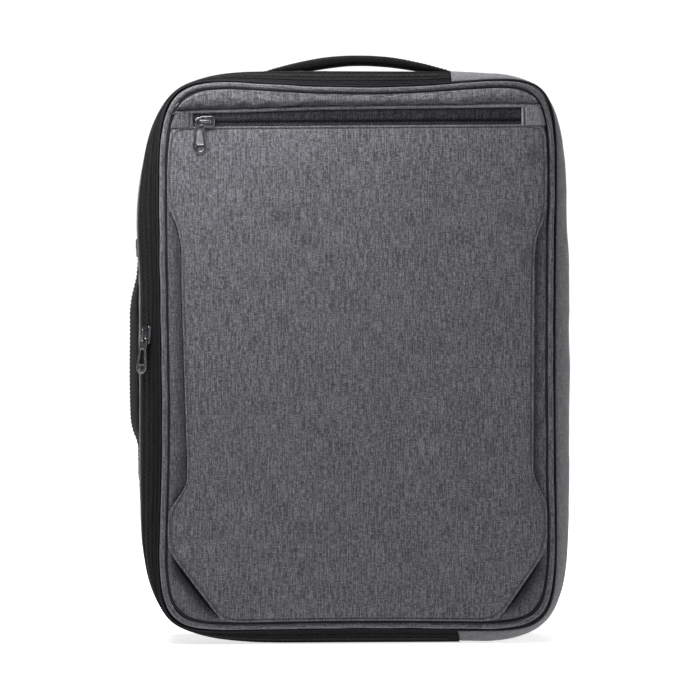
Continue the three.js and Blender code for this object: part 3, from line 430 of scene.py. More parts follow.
def rounded_section(width: Array, thickness: Array, power: float, count: int) -> Array:
    """Superellipse sections: x = w/2 * sgn(cos)|cos|^(2/p) and y = t/2 * sgn(sin)|sin|^(2/p).

    Args:
        width: full widths, shape (n,).
        thickness: full thicknesses, shape (n,).
        power: 2 is round, and a higher one boxier.
        count: points in a section.

    Returns:
        Sections, shape (n, count, 2).
    """
    turn = np.arange(count) * TURN / count
    c, s = np.cos(turn), np.sin(turn)
    x = np.sign(c) * np.abs(c) ** (2 / power)
    y = np.sign(s) * np.abs(s) ** (2 / power)
    return np.stack([np.multiply.outer(width, x), np.multiply.outer(thickness, y)], axis=-1) / 2


def ring_uv(rows: Array, columns: Array) -> Array:
    """Returns pattern coordinates that are the outer product of two running lengths."""
    return np.stack(np.meshgrid(rows, columns, indexing="ij"), axis=-1)


# Finishes


class Shader:
    """Builds one material's nodes."""

    def __init__(self, name: str) -> None:
        """Starts a material with a principled surface."""
        self.material = bpy.data.materials.new(name)
        self.material.use_nodes = True
        self.nodes = self.material.node_tree.nodes
        self.links = self.material.node_tree.links
        self.surface = self.nodes["Principled BSDF"]

    def node(
        self, kind: str, inputs: Optional[dict[str, Socket]] = None, **settings: object
    ) -> bpy.types.Node:
        """Adds a node.

        Args:
            kind: the node's type name.
            inputs: constants or sockets by the name or number of the input.
            settings: attributes of the node.

        Returns:
            The node.
        """
        made = self.nodes.new(kind)
        for key, value in settings.items():
            setattr(made, key, value)
        for key, value in (inputs or {}).items():
            self.feed(made.inputs[int(key) if key.isdigit() else key], value)
        return made

    def feed(self, socket: bpy.types.NodeSocket, value: Socket) -> None:
        """Links a socket to an input, or sets its constant.

        Args:
            socket: the input.
            value: an output socket, a number or a colour.

        Returns:
            None.
        """
        if isinstance(value, bpy.types.NodeSocket):
            self.links.new(value, socket)
        else:
            socket.default_value = value

    def math(self, operation: str, first: Socket, second: Socket = 0.0) -> bpy.types.NodeSocket:
        """Returns the output of a math node over two inputs."""
        return self.node("ShaderNodeMath", {"0": first, "1": second}, operation=operation).outputs[0]

    def stretched(self, along: Socket, scale: Sequence[float]) -> bpy.types.NodeSocket:
        """Returns a coordinate scaled by its own factor on each axis."""
        inputs = {"0": along, "1": tuple(scale)}
        return self.node("ShaderNodeVectorMath", inputs, operation="MULTIPLY").outputs[0]

    def noise(self, vector: Socket, detail: float = 2.0, rough: float = 0.5) -> bpy.types.NodeSocket:
        """Returns the factor of a noise texture over a coordinate."""
        inputs = {"Vector": vector, "Scale": 1.0, "Detail": detail, "Roughness": rough}
        return self.node("ShaderNodeTexNoise", inputs).outputs[0]

    def blend(self, share: Socket, first: Sequence[float], second: Sequence[float]) -> bpy.types.NodeSocket:
        """Returns the mix of two colours."""
        made = self.node("ShaderNodeMix", data_type="RGBA")
        self.feed(made.inputs[0], share)
        self.feed(made.inputs[6], (*first, 1.0))
        self.feed(made.inputs[7], (*second, 1.0))
        return made.outputs[2]

    def spread(self, value: Socket, low: float, high: float, to: tuple[float, float]) -> bpy.types.NodeSocket:
        """Returns a value's range low to high brought to another range, and held inside it."""
        inputs = {"Value": value, "From Min": low, "From Max": high, "To Min": to[0], "To Max": to[1]}
        return self.node("ShaderNodeMapRange", inputs).outputs[0]

    def bump(self, height: Socket, distance: float) -> None:
        """Feeds the surface's normal from a height, in metres at full strength."""
        inputs = {"Height": height, "Distance": distance, "Strength": 1.0}
        self.feed(self.surface.inputs["Normal"], self.node("ShaderNodeBump", inputs).outputs[0])


@dataclass(frozen=True)
class ClothFinish:
    """Woven cloth in two thread colours: slubs along the warp and the weft, and the threads' own relief."""

    name: str
    dark: Colour
    light: Colour
    pitch: float = 0.85 * MM
    slub: float = 6.5 * MM
    contrast: float = 2.6
    relief: float = 0.16 * MM
    sheen: float = 0.25
    roughness: float = 0.92
    shine: float = 0.18

    def material(self) -> Material:
        """Makes the material.

        The colour's share is a sum of noises stretched along the warp, in short and long slubs, one stretched
        across it, and a per-thread noise.
        The relief is |sin(pi*u/p)| * |sin(pi*v/p)|, alternate threads on top. The points' attribute for
        painted shading paints shade over the cloth where it is above 0, and paints light over it where it is
        below 0.

        Returns:
            The material.
        """
        sh = Shader(self.name)
        uv = sh.node("ShaderNodeUVMap", uv_map="cloth").outputs[0]
        thread = 1 / self.pitch
        warp = sh.noise(sh.stretched(uv, (1.15 * thread, 1.9 / self.slub, 1)), 2.0, 0.5)
        strand = sh.noise(sh.stretched(uv, (0.9 * thread, 0.42 / self.slub, 1)), 2.0, 0.5)
        weft = sh.noise(sh.stretched(uv, (1.5 / self.slub, thread, 1)), 3.0, 0.6)
        grain = sh.noise(sh.stretched(uv, (1.7 * thread, 1.1 * thread, 1)), 1.0)
        patch = sh.noise(sh.stretched(uv, (30, 22, 1)), 2.0)
        total = sh.math("MULTIPLY", warp, 0.26)
        total = sh.math("ADD", total, sh.math("MULTIPLY", strand, 0.23))
        total = sh.math("ADD", total, sh.math("MULTIPLY", weft, 0.22))
        total = sh.math("ADD", total, sh.math("MULTIPLY", grain, 0.26))
        total = sh.math("ADD", total, sh.math("MULTIPLY", patch, 0.03))
        half = 0.15 / self.contrast
        share = sh.spread(total, 0.515 - half, 0.515 + half, (0.0, 1.0))
        painted_shading = sh.node("ShaderNodeAttribute", attribute_name="painted_shading").outputs["Fac"]
        colour = sh.blend(share, self.dark.value, self.light.value)
        # Painted shade where the attribute is above 0, and painted light where it is below 0.
        for amount, tone in ((painted_shading, Colour.SHADE), (sh.math("MULTIPLY", painted_shading, -1.0), Colour.PAINTED_LIGHT)):
            inputs = {"0": amount, "6": colour, "7": (*tone.value, 1.0)}
            colour = sh.node("ShaderNodeMix", inputs, data_type="RGBA").outputs[2]
        sh.feed(sh.surface.inputs["Base Color"], colour)
        sh.feed(sh.surface.inputs["Roughness"], self.roughness)
        sh.feed(sh.surface.inputs["Specular IOR Level"], self.shine)
        sh.feed(sh.surface.inputs["Sheen Weight"], self.sheen)
        sh.feed(sh.surface.inputs["Sheen Roughness"], 0.5)
        parts = sh.node("ShaderNodeSeparateXYZ", {"0": sh.stretched(uv, (math.pi * thread,) * 3)})
        over = sh.math("ABSOLUTE", sh.math("SINE", parts.outputs[0]))
        under = sh.math("ABSOLUTE", sh.math("SINE", parts.outputs[1]))
        weave = sh.math("ADD", sh.math("MULTIPLY", over, under), sh.math("MULTIPLY", grain, 0.9))
        sh.bump(weave, self.relief)
        return sh.material


@dataclass(frozen=True)
class PlainFinish:
    """Metal, plastic or thread in one colour, with fine unevenness of colour, gloss and surface."""

    name: str
    colour: Colour
    metallic: float = 0.0
    roughness: float = 0.4
    grain: float = 0.4 * MM
    relief: float = 0.01 * MM
    shine: float = 0.5

    def material(self) -> Material:
        """Makes the material: noise over Object coordinates moves colour, roughness and normal.

        Returns:
            The material.
        """
        sh = Shader(self.name)
        place = sh.node("ShaderNodeTexCoord").outputs["Object"]
        fine = sh.noise(sh.stretched(place, (1 / self.grain,) * 3), 2.0)
        wear = sh.noise(sh.stretched(place, (260.0,) * 3), 3.0)
        darker = tuple(0.72 * c for c in self.colour.value)
        lighter = tuple(min(1.0, 1.25 * c) for c in self.colour.value)
        sh.feed(sh.surface.inputs["Base Color"], sh.blend(wear, darker, lighter))
        sh.feed(sh.surface.inputs["Metallic"], self.metallic)
        sh.feed(sh.surface.inputs["Specular IOR Level"], self.shine)
        rough = sh.spread(wear, 0.3, 0.7, (self.roughness * 0.8, self.roughness * 1.25))
        sh.feed(sh.surface.inputs["Roughness"], rough)
        sh.bump(fine, self.relief)
        return sh.material


@dataclass
class Finishes:
    """Every material of the bag, made once."""

    heather: Material = field(init=False)
    shaded_heather: Material = field(init=False)
    black: Material = field(init=False)
    tape: Material = field(init=False)
    band: Material = field(init=False)
    mesh: Material = field(init=False)
    metal: Material = field(init=False)
    plastic: Material = field(init=False)
    grey_thread: Material = field(init=False)
    black_thread: Material = field(init=False)
    coil: Material = field(init=False)
    inlay: Material = field(init=False)
    shade: Material = field(init=False)
    # seam: dark tubes in the grooves beside the piping, as painted shade.
    seam: Material = field(init=False)

    def __post_init__(self) -> None:
        """Makes the materials."""
        heather = ClothFinish("heather cloth", Colour.HEATHER_DARK, Colour.HEATHER_LIGHT)
        self.heather = heather.material()
        # A darker copy of the heather, as painted shade, for the front panel in the recesses beside the
        # pocket.
        shaded_heather = replace(heather, name="recessed heather cloth", dark=Colour.SHADED_DARK, light=Colour.SHADED_LIGHT)
        self.shaded_heather = shaded_heather.material()
        black = ClothFinish("black webbing", Colour.BLACK, Colour.BLACK_LIFT, pitch=1.1 * MM, slub=1.6 * MM)
        black = replace(black, relief=0.3 * MM, sheen=0.03, shine=0.1)
        self.black = black.material()
        self.tape = ClothFinish(
            "zip tape",
            Colour.TAPE,
            Colour.TAPE_LIFT,
            pitch=0.9 * MM,
            slub=6 * MM,
            relief=0.2 * MM,
            sheen=0.05,
        ).material()
        self.band = replace(black, name="band tape", pitch=0.9 * MM, slub=6 * MM, shine=0.14).material()
        self.mesh = ClothFinish(
            "air mesh", Colour.BLACK, Colour.BLACK_LIFT, pitch=2.6 * MM, slub=2.6 * MM, relief=0.9 * MM
        ).material()
        self.metal = PlainFinish("gunmetal", Colour.GUNMETAL, metallic=1.0, roughness=0.24).material()
        self.inlay = PlainFinish("brushed gunmetal", Colour.INLAY, metallic=1.0, roughness=0.42).material()
        # Black for the painted shade under the pocket's edges, and for the front coil and the main puller's
        # sunk field.
        shade = PlainFinish("seam tape", Colour.SHADE, roughness=0.9, relief=0.2 * MM, shine=0.05)
        self.shade = shade.material()
        # Painted shade in the grooves beside the piping.
        self.seam = PlainFinish("seam cloth", Colour.SEAM, roughness=0.9, shine=0.05).material()
        self.plastic = PlainFinish("black plastic", Colour.BLACK, roughness=0.42).material()
        self.grey_thread = PlainFinish("grey thread", Colour.GREY_THREAD, roughness=0.75).material()
        self.black_thread = PlainFinish("black thread", Colour.BLACK_THREAD, roughness=0.7).material()
        self.coil = PlainFinish("zip coil", Colour.TAPE, roughness=0.5, shine=0.3).material()


# The body's shape, shared by every piece that lies on it


@dataclass
class BodyShape:
    """The bag's rounded outline and the depth profile of its gusset, as in the frame's solids."""

    width: float = 325 * MM
    height: float = 430 * MM
    depth: float = 100 * MM
    sit: float = 1.8 * MM
    side_bulge: float = 13.2 * MM
    top_bulge: float = 11.9 * MM
    side_waist: float = 1.8 * MM
    waists: tuple[float, float] = (7.6 * MM, 1.5 * MM)
    rises: tuple[float, float] = (5.0 * MM, 0.6 * MM)
    left_drop: float = 1.7 * MM
    pipe: float = 5.5 * MM
    clearance: float = 0.3 * MM
    groove: float = 1.0 * MM
    panel_wall: float = 3 * MM
    front_crown: float = 4 * MM
    back_crown: float = 2 * MM
    seam_corner: float = 11.0
    left_corner: float = 9.0
    corners: tuple[float, float, float, float] = (6.5, 4.6, 5.2, 7.0)
    front_rows: tuple[int, int] = (0, 5)
    rear_rows: tuple[int, int] = (5, 10)
    profile: Array = field(
        default_factory=lambda: np.array([
            (-0.47, 0.0, 1.0), (-0.45, 0.27, 0.7), (-0.41, 0.57, 0.4), (-0.355, 0.81, 0.18),
            (-0.27, 0.945, 0.05), (-0.16, 0.99, 0.01), (0.02, 1.0, 0.0), (0.2, 0.99, 0.01),
            (0.31, 0.9, 0.12), (0.4, 0.56, 0.45), (0.47, 0.0, 1.0),
        ])
    )

    @property
    def middle(self) -> float:
        """Returns the height of the body's middle."""
        return (self.height - self.sit) / 2

    @property
    def half_height(self) -> float:
        """Returns half the body's height before it is pressed flat below."""
        return (self.height + self.sit) / 2

    @property
    def rim(self) -> float:
        """Returns how far inside the seam the panels end."""
        return self.pipe + self.clearance

    @property
    def panel_half(self) -> tuple[float, float]:
        """Returns half the panels' width and height."""
        return (
            self.width / 2 - self.side_bulge - self.rim, self.half_height - self.top_bulge - self.rim
        )

    def outline(self, angle: Array, side: Array, top: Array, square: Array, lowest: float = 0.0) -> Array:
        """The body's outline, drawn in by insets.

        reach = (|cos/a|^n + |sin/b|^n)^(-1/n), where n is the quadrant's corner power, and each waist draws
        its side in by w * (1 - t^2)^2 over its length. The seam's top and bottom rise towards their corners.

        Args:
            angle: directions from the body's middle.
            side: inset of the sides.
            top: inset of the top and bottom.
            square: share of the seam's squarer form.
            lowest: floor for the height.

        Returns:
            Points (x, z) in the last axis.
        """
        c, s = np.cos(angle), np.sin(angle)
        top_right, top_left, bottom_left, bottom_right = self.corners
        upper = np.where(c >= 0, top_right, top_left)
        lower = np.where(c >= 0, bottom_right, bottom_left)
        own = np.where(s >= 0, upper, lower)
        left = ease(-c / 0.2)
        drop = np.where(s >= 0, left, 0) * square
        sewn = np.where((c < 0) & (s >= 0), self.left_corner, self.seam_corner)
        power = own + (sewn - own) * square
        a = self.width / 2 - side
        b = self.half_height - top + np.where(s >= 0, *self.rises) * square - self.left_drop * drop
        reach = (np.abs(c / a) ** power + np.abs(s / b) ** power) ** (-1 / power)
        x, z = reach * c, reach * s
        drawn_x = square * self.side_waist * (1 - np.clip(z / b, -1, 1) ** 2) ** 2 / a
        drawn_x = drawn_x + square * left * 1.7 * MM * hump(z, 0.15 - self.middle, 0.075) / a
        waist = np.where(s >= 0, *self.waists) - self.left_drop * drop
        drawn_z = square * waist * (1 - np.clip(x / a, -1, 1) ** 2) ** 2 / b
        upper = ease((z + self.middle - 0.26) / 0.07)
        lean = (1 - square) * (2.65 - 0.75 * np.clip(3 * c, -1, 1)) * MM * upper
        lean = lean + (1 - square) * left * 1.6 * MM * hump(z, 0.065 - self.middle, 0.03)
        lifted = (1 - square) * 2.0 * MM * ease((-x - 0.05) / 0.08) * np.clip(-z / b, 0, 1) ** 4
        high = np.maximum(lowest, self.middle + z * (1 - drawn_z) + lifted)
        return np.stack([x * (1 - drawn_x) - lean, high], axis=-1)

    def seam(self, angle: Array, further: float) -> Array:
        """Returns the seam's outline (x, z), drawn in by a further inset."""
        inset = np.full(np.shape(angle), further)
        return self.outline(angle, self.side_bulge + inset, self.top_bulge + inset, np.ones(np.shape(angle)))

    def angles(self, count: int, start: float = 0.0, end: float = TURN) -> Array:
        """Directions that are evenly spaced along the outline.

        Args:
            count: how many; a full turn leaves out its last.
            start: first direction.
            end: last direction.

        Returns:
            The directions, shape (count,).
        """
        fine = np.linspace(start, end, 6000)
        line = self.outline(fine, 0.5 * self.side_bulge, 0.5 * self.top_bulge, 0.5)
        full = abs(end - start - TURN) < 1e-6
        run = arc_length(line)
        return np.interp(np.linspace(0, run[-1], count, endpoint=not full), run, fine)

    def run_along(self, angles: Array, closed: bool) -> Array:
        """Returns running lengths along the widest outline, with the closing one where it is closed."""
        line = self.outline(angles, 0.0, 0.0, 0.0)
        if closed:
            line = np.vstack([line, line[:1]])
        return arc_length(line)

    def gusset(self, angles: Array, first: int, last: int, count: int, edges: tuple[float, float]) -> Array:
        """A stretch of the gusset's outside between two rows of the profile.

        Args:
            angles: directions round the body.
            first: first row of the profile.
            last: last row.
            count: points across.
            edges: shift in depth of the first and the last point, to leave a seam.

        Returns:
            Points, shape (angles, count, 3).
        """
        dense = smooth_rows(self.profile, 40 * (len(self.profile) - 1) + 1)[first * 40 : last * 40 + 1]
        line = np.stack([dense[:, 0] * self.depth, dense[:, 1] * self.side_bulge, 0 * dense[:, 0]], axis=1)
        rows = resample(np.hstack([line, dense]), np.linspace(0, arc_length(line)[-1], count))[:, 3:]
        depth = rows[:, 0] * self.depth
        share = np.linspace(0, 1, count)
        depth = depth + edges[0] * (1 - share) ** 8 + edges[1] * share**8
        bulge, square = np.clip(rows[:, 1], 0, 1), np.clip(rows[:, 2], 0, 1)
        side = self.side_bulge * (1 - bulge)
        top = self.top_bulge * (1 - bulge)
        xz = self.outline(angles[:, None], side[None], top[None], square[None])
        return np.stack([xz[..., 0], np.broadcast_to(depth, xz.shape[:2]), xz[..., 1]], axis=-1)

    def crown(self, x: Array, z: Array) -> Array:
        """Returns the swelling of the panels, (1 - |x/a|^2.5) * (1 - |z/b|^2.5)."""
        half_width, half_height = self.panel_half
        across = 1 - np.minimum(1, np.abs(x / half_width)) ** 2.5
        up = 1 - np.minimum(1, np.abs((z - self.middle) / half_height)) ** 2.5
        return across * up

    def front(self, x: Array, z: Array) -> Array:
        """Returns the depth of the front panel's outside."""
        return -(self.depth / 2 + self.panel_wall / 2 + self.front_crown * self.crown(x, z))

    def back(self, x: Array, z: Array) -> Array:
        """Returns the depth of the back panel's outside."""
        return self.depth / 2 + self.panel_wall / 2 + self.back_crown * self.crown(x, z)

    @property
    def inside(self) -> tuple[float, float, float]:
        """Returns a point in the middle of the bag."""
        return (0.0, 0.0, self.middle)


def surface_normals(points: Array, wrap_rows: bool, away_from: Sequence[float]) -> Array:
    """Unit normals of a grid of points.

    Args:
        points: shape (rows, columns, 3).
        wrap_rows: the last row joins the first.
        away_from: a point behind the surface.

    Returns:
        Normals, shape (rows, columns, 3).
    """
    if wrap_rows:
        down = np.roll(points, -1, axis=0) - np.roll(points, 1, axis=0)
    else:
        down = np.gradient(points, axis=0)
    normal = unit(np.cross(down, np.gradient(points, axis=1)))
    sign = np.sign(np.sum(normal * (points - np.asarray(away_from))))
    return normal * sign


def regrid(table: Array, rows: int, columns: int) -> Array:
    """A grid of points resampled to other counts along both sides, on Catmull-Rom curves.

    Args:
        table: shape (m, n, k).
        rows: rows wanted.
        columns: columns wanted.

    Returns:
        The grid, shape (rows, columns, k).
    """
    down = smooth_rows(table.reshape(len(table), -1), rows).reshape(rows, -1, table.shape[2])
    turned = down.transpose(1, 0, 2)
    over = smooth_rows(turned.reshape(len(turned), -1), columns).reshape(columns, rows, -1)
    return over.transpose(1, 0, 2)


@dataclass(frozen=True)
class Cushioning:
    """Fills out a quilted sheet with the cloth solver: held along its seams and pressed from behind."""

    pressure: float = 1.0
    spare: float = 0.004
    mass: float = 0.02
    stiffness: float = 15.0
    bending: float = 0.3
    cap: float = 2.5 * MM
    frames: int = 20

    def settle(self, points: Array, held: Array, away_from: Sequence[float]) -> Array:
        """How far each point moves; the movement m is held down to cap * m / (cap + |m|).

        Args:
            points: a grid, shape (rows, columns, 3).
            held: true where a seam holds it, shape (rows, columns).
            away_from: a point behind the sheet.

        Returns:
            The movements, shape (rows, columns, 3).
        """
        piece = Builder("cushioning").grid(points, away_from=away_from).sheet()
        group = piece.vertex_groups.new(name="held")
        group.add(np.flatnonzero(held.ravel()).tolist(), 1.0, "REPLACE")
        cloth = piece.modifiers.new("cloth", "CLOTH")
        settings = cloth.settings
        settings.vertex_group_mass = "held"
        settings.use_pressure = True
        settings.uniform_pressure_force = self.pressure
        settings.effector_weights.gravity = 0
        settings.shrink_min = -self.spare
        settings.mass = self.mass
        settings.tension_stiffness = self.stiffness
        settings.compression_stiffness = self.stiffness
        settings.bending_stiffness = self.bending
        cloth.point_cache.frame_start = 1
        cloth.point_cache.frame_end = self.frames
        for step in range(1, self.frames + 1):
            bpy.context.scene.frame_set(step)
        settled = piece.evaluated_get(bpy.context.evaluated_depsgraph_get())
        place = np.empty(points.size, np.float32)
        settled.data.vertices.foreach_get("co", place)
        mesh = piece.data
        bpy.data.objects.remove(piece)
        bpy.data.meshes.remove(mesh)
        bpy.context.scene.frame_set(1)
        moved = place.reshape(points.shape) - points
        size = np.linalg.norm(moved, axis=-1, keepdims=True)
        log.info("cloth settled: %.2f mm mean, %.2f mm most", size.mean() / MM, size.max() / MM)
        return moved * self.cap / (self.cap + size)

    def over(self, x: Array, z: Array, box: Sequence[float], depth: Callable, held: Callable) -> Array:
        """How far a sheet moves in depth at given places, from a square net of 4.5 mm laid over it.

        Args:
            x: sideways places.
            z: heights.
            box: the net's half width, and its lowest and highest z.
            depth: gives the sheet's depth at (x, z).
            held: tells where it is held at (x, z).

        Returns:
            The movement along y, in the form of x.
        """
        half, low, high = box
        wide = 2 * round(half / (4.5 * MM)) + 1
        tall = round((high - low) / (4.5 * MM)) + 1
        beside, above = np.linspace(-half, half, wide), np.linspace(low, high, tall)
        net_x, net_z = np.meshgrid(beside, above, indexing="ij")
        points = np.stack([net_x, depth(net_x, net_z), net_z], axis=-1)
        moved = self.settle(points, held(net_x, net_z), (0.0, 0.0, (low + high) / 2))[..., 1]
        u = np.clip((x + half) / (2 * half) * (wide - 1), 0, wide - 1.001)
        v = np.clip((z - low) / (high - low) * (tall - 1), 0, tall - 1.001)
        i, j = u.astype(int), v.astype(int)
        s, t = ease(u - i), ease(v - j)
        near = moved[i, j] * (1 - s) + moved[i + 1, j] * s
        far = moved[i, j + 1] * (1 - s) + moved[i + 1, j + 1] * s
        return near * (1 - t) + far * t


@dataclass
class Sewn:
    """What every sewn part starts from: the body's shape and the materials."""

    shape: BodyShape
    finishes: Finishes

    def cloth(
        self,
        name: str,
        points: Array,
        finish: Material,
        node: Optional[str] = None,
        wall: float = 0.0,
        uv: Optional[Array] = None,
        closed: bool = False,
    ) -> Piece:
        """Makes a sheet of cloth over a grid of points, with its faces away from the bag's inside.

        Args:
            name: the piece's name.
            points: shape (rows, columns, 3).
            finish: its material.
            node: the frame's node that it stands for, if any.
            wall: thickness towards the inside, or 0 for a bare sheet.
            uv: pattern coordinates; without them they are (x, z).
            closed: the last row joins the first.

        Returns:
            The piece.
        """
        if uv is None:
            flat = points[..., [0, 2]]
            uv = np.concatenate([flat, flat[:1]]) if closed else flat
        piece = Builder(name).grid(points, uv, wrap_rows=closed, away_from=self.shape.inside).object(finish)
        if wall > 0:
            shell = piece.modifiers.new("wall", "SOLIDIFY")
            shell.thickness = wall
            shell.offset = -1
        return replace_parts(piece, node) if node else piece


@dataclass
class Body(Sewn):
    """The bag's carcass: gussets, panels and piping."""

    band_ends: tuple[float, float] = (72.9 * MM, 78.7 * MM)
    seam_groove: float = 1.2 * MM
    cord: float = 3.95 * MM
    cord_inset: float = 3.0 * MM
    wall: float = 2 * MM
    slit: float = 0.15 * MM
    zip_at: float = 11.8 * MM
    front_width: float = 41 * MM
    rear_width: float = 66 * MM
    front_cloth: Optional[Piece] = None

    def build(self) -> None:
        """Makes every piece of the carcass."""
        self.rear_gusset()
        self.hinge()
        self.band()
        self.piping("front piping cloth", -self.shape.depth / 2 - self.shape.clearance / 2, "front_piping")
        self.piping("rear piping cloth", self.shape.depth / 2 + self.shape.clearance / 2, "rear_piping")
        self.panels()

    def band_angles(self) -> tuple[float, float]:
        """Returns the directions in which the black band starts and ends."""
        top, bottom = self.band_ends
        high = math.atan2(self.shape.half_height, top)
        low = TURN - math.atan2(self.shape.half_height, bottom)
        return high, low

    def cloth_side(
        self,
        angles: Array,
        closed: bool,
        rows: tuple[int, int],
        count: int,
        edges: tuple[float, float],
        relief: Callable[[Array, Array], Array],
    ) -> tuple[Array, Array]:
        """A stretch of gusset with its cloth's relief.

        Args:
            angles: directions round the body.
            closed: the stretch goes all round.
            rows: first and last row of the profile.
            count: points across.
            edges: shift of the two edges in depth.
            relief: height over the run along and across, in metres.

        Returns:
            The points and their pattern coordinates.
        """
        points = self.shape.gusset(angles, *rows, count, edges)
        run = self.shape.run_along(angles, closed)
        across = arc_length(points[len(points) // 2])
        height = relief(run[: len(angles), None], across[None, :])
        points = points + surface_normals(points, closed, self.shape.inside) * height[..., None]
        points[..., 2] = np.maximum(points[..., 2], 0.05 * MM)
        return points, ring_uv(run, across)[..., ::-1]

    def rear_gusset(self) -> None:
        """Makes the grey ring behind the black band."""
        angles = self.shape.angles(460)

        def relief(run: Array, across: Array) -> Array:
            """Returns folded edges at both seams and a gentle unevenness between."""
            edge = -self.seam_groove * (hump(across, 0, 1.3 * MM) + hump(across, self.rear_width, 1.6 * MM))
            uneven = 0.45 * MM * undulation(run, across, 0.11, 3) * ease(across / (14 * MM))
            return edge + uneven + 0.12 * MM * undulation(run, across, 0.018, 4)

        edges = (self.slit, 0.0)
        points, uv = self.cloth_side(angles, True, self.shape.rear_rows, 36, edges, relief)
        self.cloth("rear gusset cloth", points, self.finishes.heather, "rear_gusset", self.wall, uv, True)

    def hinge(self) -> None:
        """Makes the grey right side of the front gusset."""
        high, low = self.band_angles()
        gap = self.slit / self.shape.half_height
        angles = self.shape.angles(280, low + gap - TURN, high - gap)
        length = self.shape.run_along(angles, False)[-1]

        def relief(run: Array, across: Array) -> Array:
            """Returns turned-in edges, and soft wrinkles that run across the hinge."""
            ends = 0.3 * (hump(run, 0, 1.4 * MM) + hump(run, length, 1.4 * MM))
            edge = hump(across, 0, 1.4 * MM) + hump(across, self.front_width, 1.2 * MM) + ends
            uneven = 0.4 * MM * undulation(run, across, 0.09, 7) * ease(across / (8 * MM))
            return uneven - self.seam_groove * edge + 0.1 * MM * undulation(run, across, 0.016, 8)

        edges = (0.0, -self.slit)
        points, uv = self.cloth_side(angles, False, self.shape.front_rows, 36, edges, relief)
        piece = self.cloth("hinge cloth", points, self.finishes.heather, "hinge_panel", self.wall, uv)
        # Painted light: the whole hinge is lightened a little over the plain heather.
        mark(piece, np.full(points.shape[:2], -0.17))

    def band(self) -> None:
        """Makes the black band of tape that the main zip runs in."""
        high, low = self.band_angles()
        gap = self.slit / self.shape.half_height
        angles = self.shape.angles(440, high + gap, low - gap)
        raised = ease((self.shape.seam(angles, 0.0)[:, 1:] - 30 * MM) / (50 * MM))

        def relief(run: Array, across: Array) -> Array:
            """Returns the tape's ribs, a channel for the coil and the folds that are sewn down beside it."""
            ribs = 0.16 * MM * np.sin(TURN * across / (1.9 * MM)) + 0 * run
            beside = np.abs(across - self.zip_at)
            fold, sewn = hump(beside, 5.2 * MM, 1.0 * MM), hump(beside, 6.9 * MM, 0.5 * MM)
            channel = -0.5 * MM * (beside < 4.6 * MM)
            edge = hump(across, 0, 1.2 * MM) + hump(across, self.front_width, 1.2 * MM)
            inwards = -1.1 * MM * ease((across - 14 * MM) / (22 * MM)) * raised
            return ribs + 0.55 * MM * fold - 0.4 * MM * sewn + channel - self.seam_groove * edge + inwards

        edges = (0.0, -self.slit)
        points, uv = self.cloth_side(angles, False, self.shape.front_rows, 80, edges, relief)
        self.cloth("main zip band cloth", points, self.finishes.band, "main_zip_band", 1.2 * MM, uv)

    def piping(self, name: str, depth: float, node: str) -> None:
        """Makes a cord in cloth along a seam, a little uneven as sewn piping is.

        Args:
            name: the piece's name.
            depth: its depth in the bag.
            node: the frame's node that it stands for.

        Returns:
            None.
        """
        angles = self.shape.angles(640)
        middle = self.shape.seam(angles, self.cord_inset)
        normal = sideways(middle)
        run = self.shape.run_along(angles, True)
        uneven = undulation(run[:-1], 0 * run[:-1], 0.05, 11 if depth < 0 else 12)
        middle = middle + normal * (0.22 * MM * uneven)[:, None]
        girth = self.cord * (1 + 0.03 * undulation(run[:-1], 0 * run[:-1], 0.02, 13))
        section = rounded_section(girth, girth, 2.0, 20)
        points = self.along_seam(middle, normal, depth, section)
        uv = ring_uv(run, np.arange(21) * TURN / 20 * self.cord / 2)[..., ::-1]
        build = Builder(name).grid(points, uv, wrap_rows=True, wrap_columns=True)
        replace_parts(build.object(self.finishes.heather), node)
        self.seam_lines(f"{name} seam", angles, run, depth)

    def along_seam(self, line: Array, normal: Array, depth: float, section: Array) -> Array:
        """Carries a section along a seam.

        Args:
            line: the seam (x, z), shape (n, 2).
            normal: directions across it, shape (n, 2).
            depth: its depth in the bag.
            section: as for tube.

        Returns:
            Grid of points, shape (n, m, 3).
        """
        middles = np.insert(line, 1, depth, axis=1)
        across = np.insert(normal, 1, 0.0, axis=1)
        return tube(middles, across, np.broadcast_to(-FORWARD, across.shape), section)

    def seam_lines(self, name: str, angles: Array, run: Array, depth: float) -> None:
        """Makes dark tubes in the grooves on both sides of the piping, as painted shade.

        Args:
            name: the piece's name.
            angles: directions round the body.
            run: running lengths along it.
            depth: the piping's depth in the bag.

        Returns:
            None.
        """
        build = Builder(name)
        sign = math.copysign(1.0, depth)
        places = ((-0.35 * MM, -2.5 * MM, 1.7 * MM), (self.shape.rim - 0.15 * MM, -0.2 * MM, 2.7 * MM))
        for inset, back, wide in places:
            line = self.shape.seam(angles, inset)
            section = rounded_section(np.full(len(angles), wide), np.full(len(angles), 1.7 * MM), 2.0, 8)
            points = self.along_seam(line, sideways(line), depth + sign * back, section)
            build.grid(points, ring_uv(run, np.arange(9) * 0.7 * MM), wrap_rows=True, wrap_columns=True)
        build.object(self.finishes.seam)

    def panels(self) -> None:
        """Makes the cloth under the front pocket, and the back."""
        angles = self.shape.angles(360)
        rim = self.shape.seam(angles, self.shape.rim - 0.2 * MM)
        middle = np.array([0.0, self.shape.middle])
        share = 1 - (1 - np.linspace(0, 1, 44)) ** 1.7
        xz = middle + (rim - middle)[:, None] * share[None, :, None]
        x, z = xz[..., 0], xz[..., 1]
        near = np.linalg.norm(rim - middle, axis=-1)[:, None] * (1 - share[None, :])
        dive = 1.0 * MM * np.exp(-near / (1.6 * MM)) + 0.9 * MM * np.exp(-near / (14 * MM))
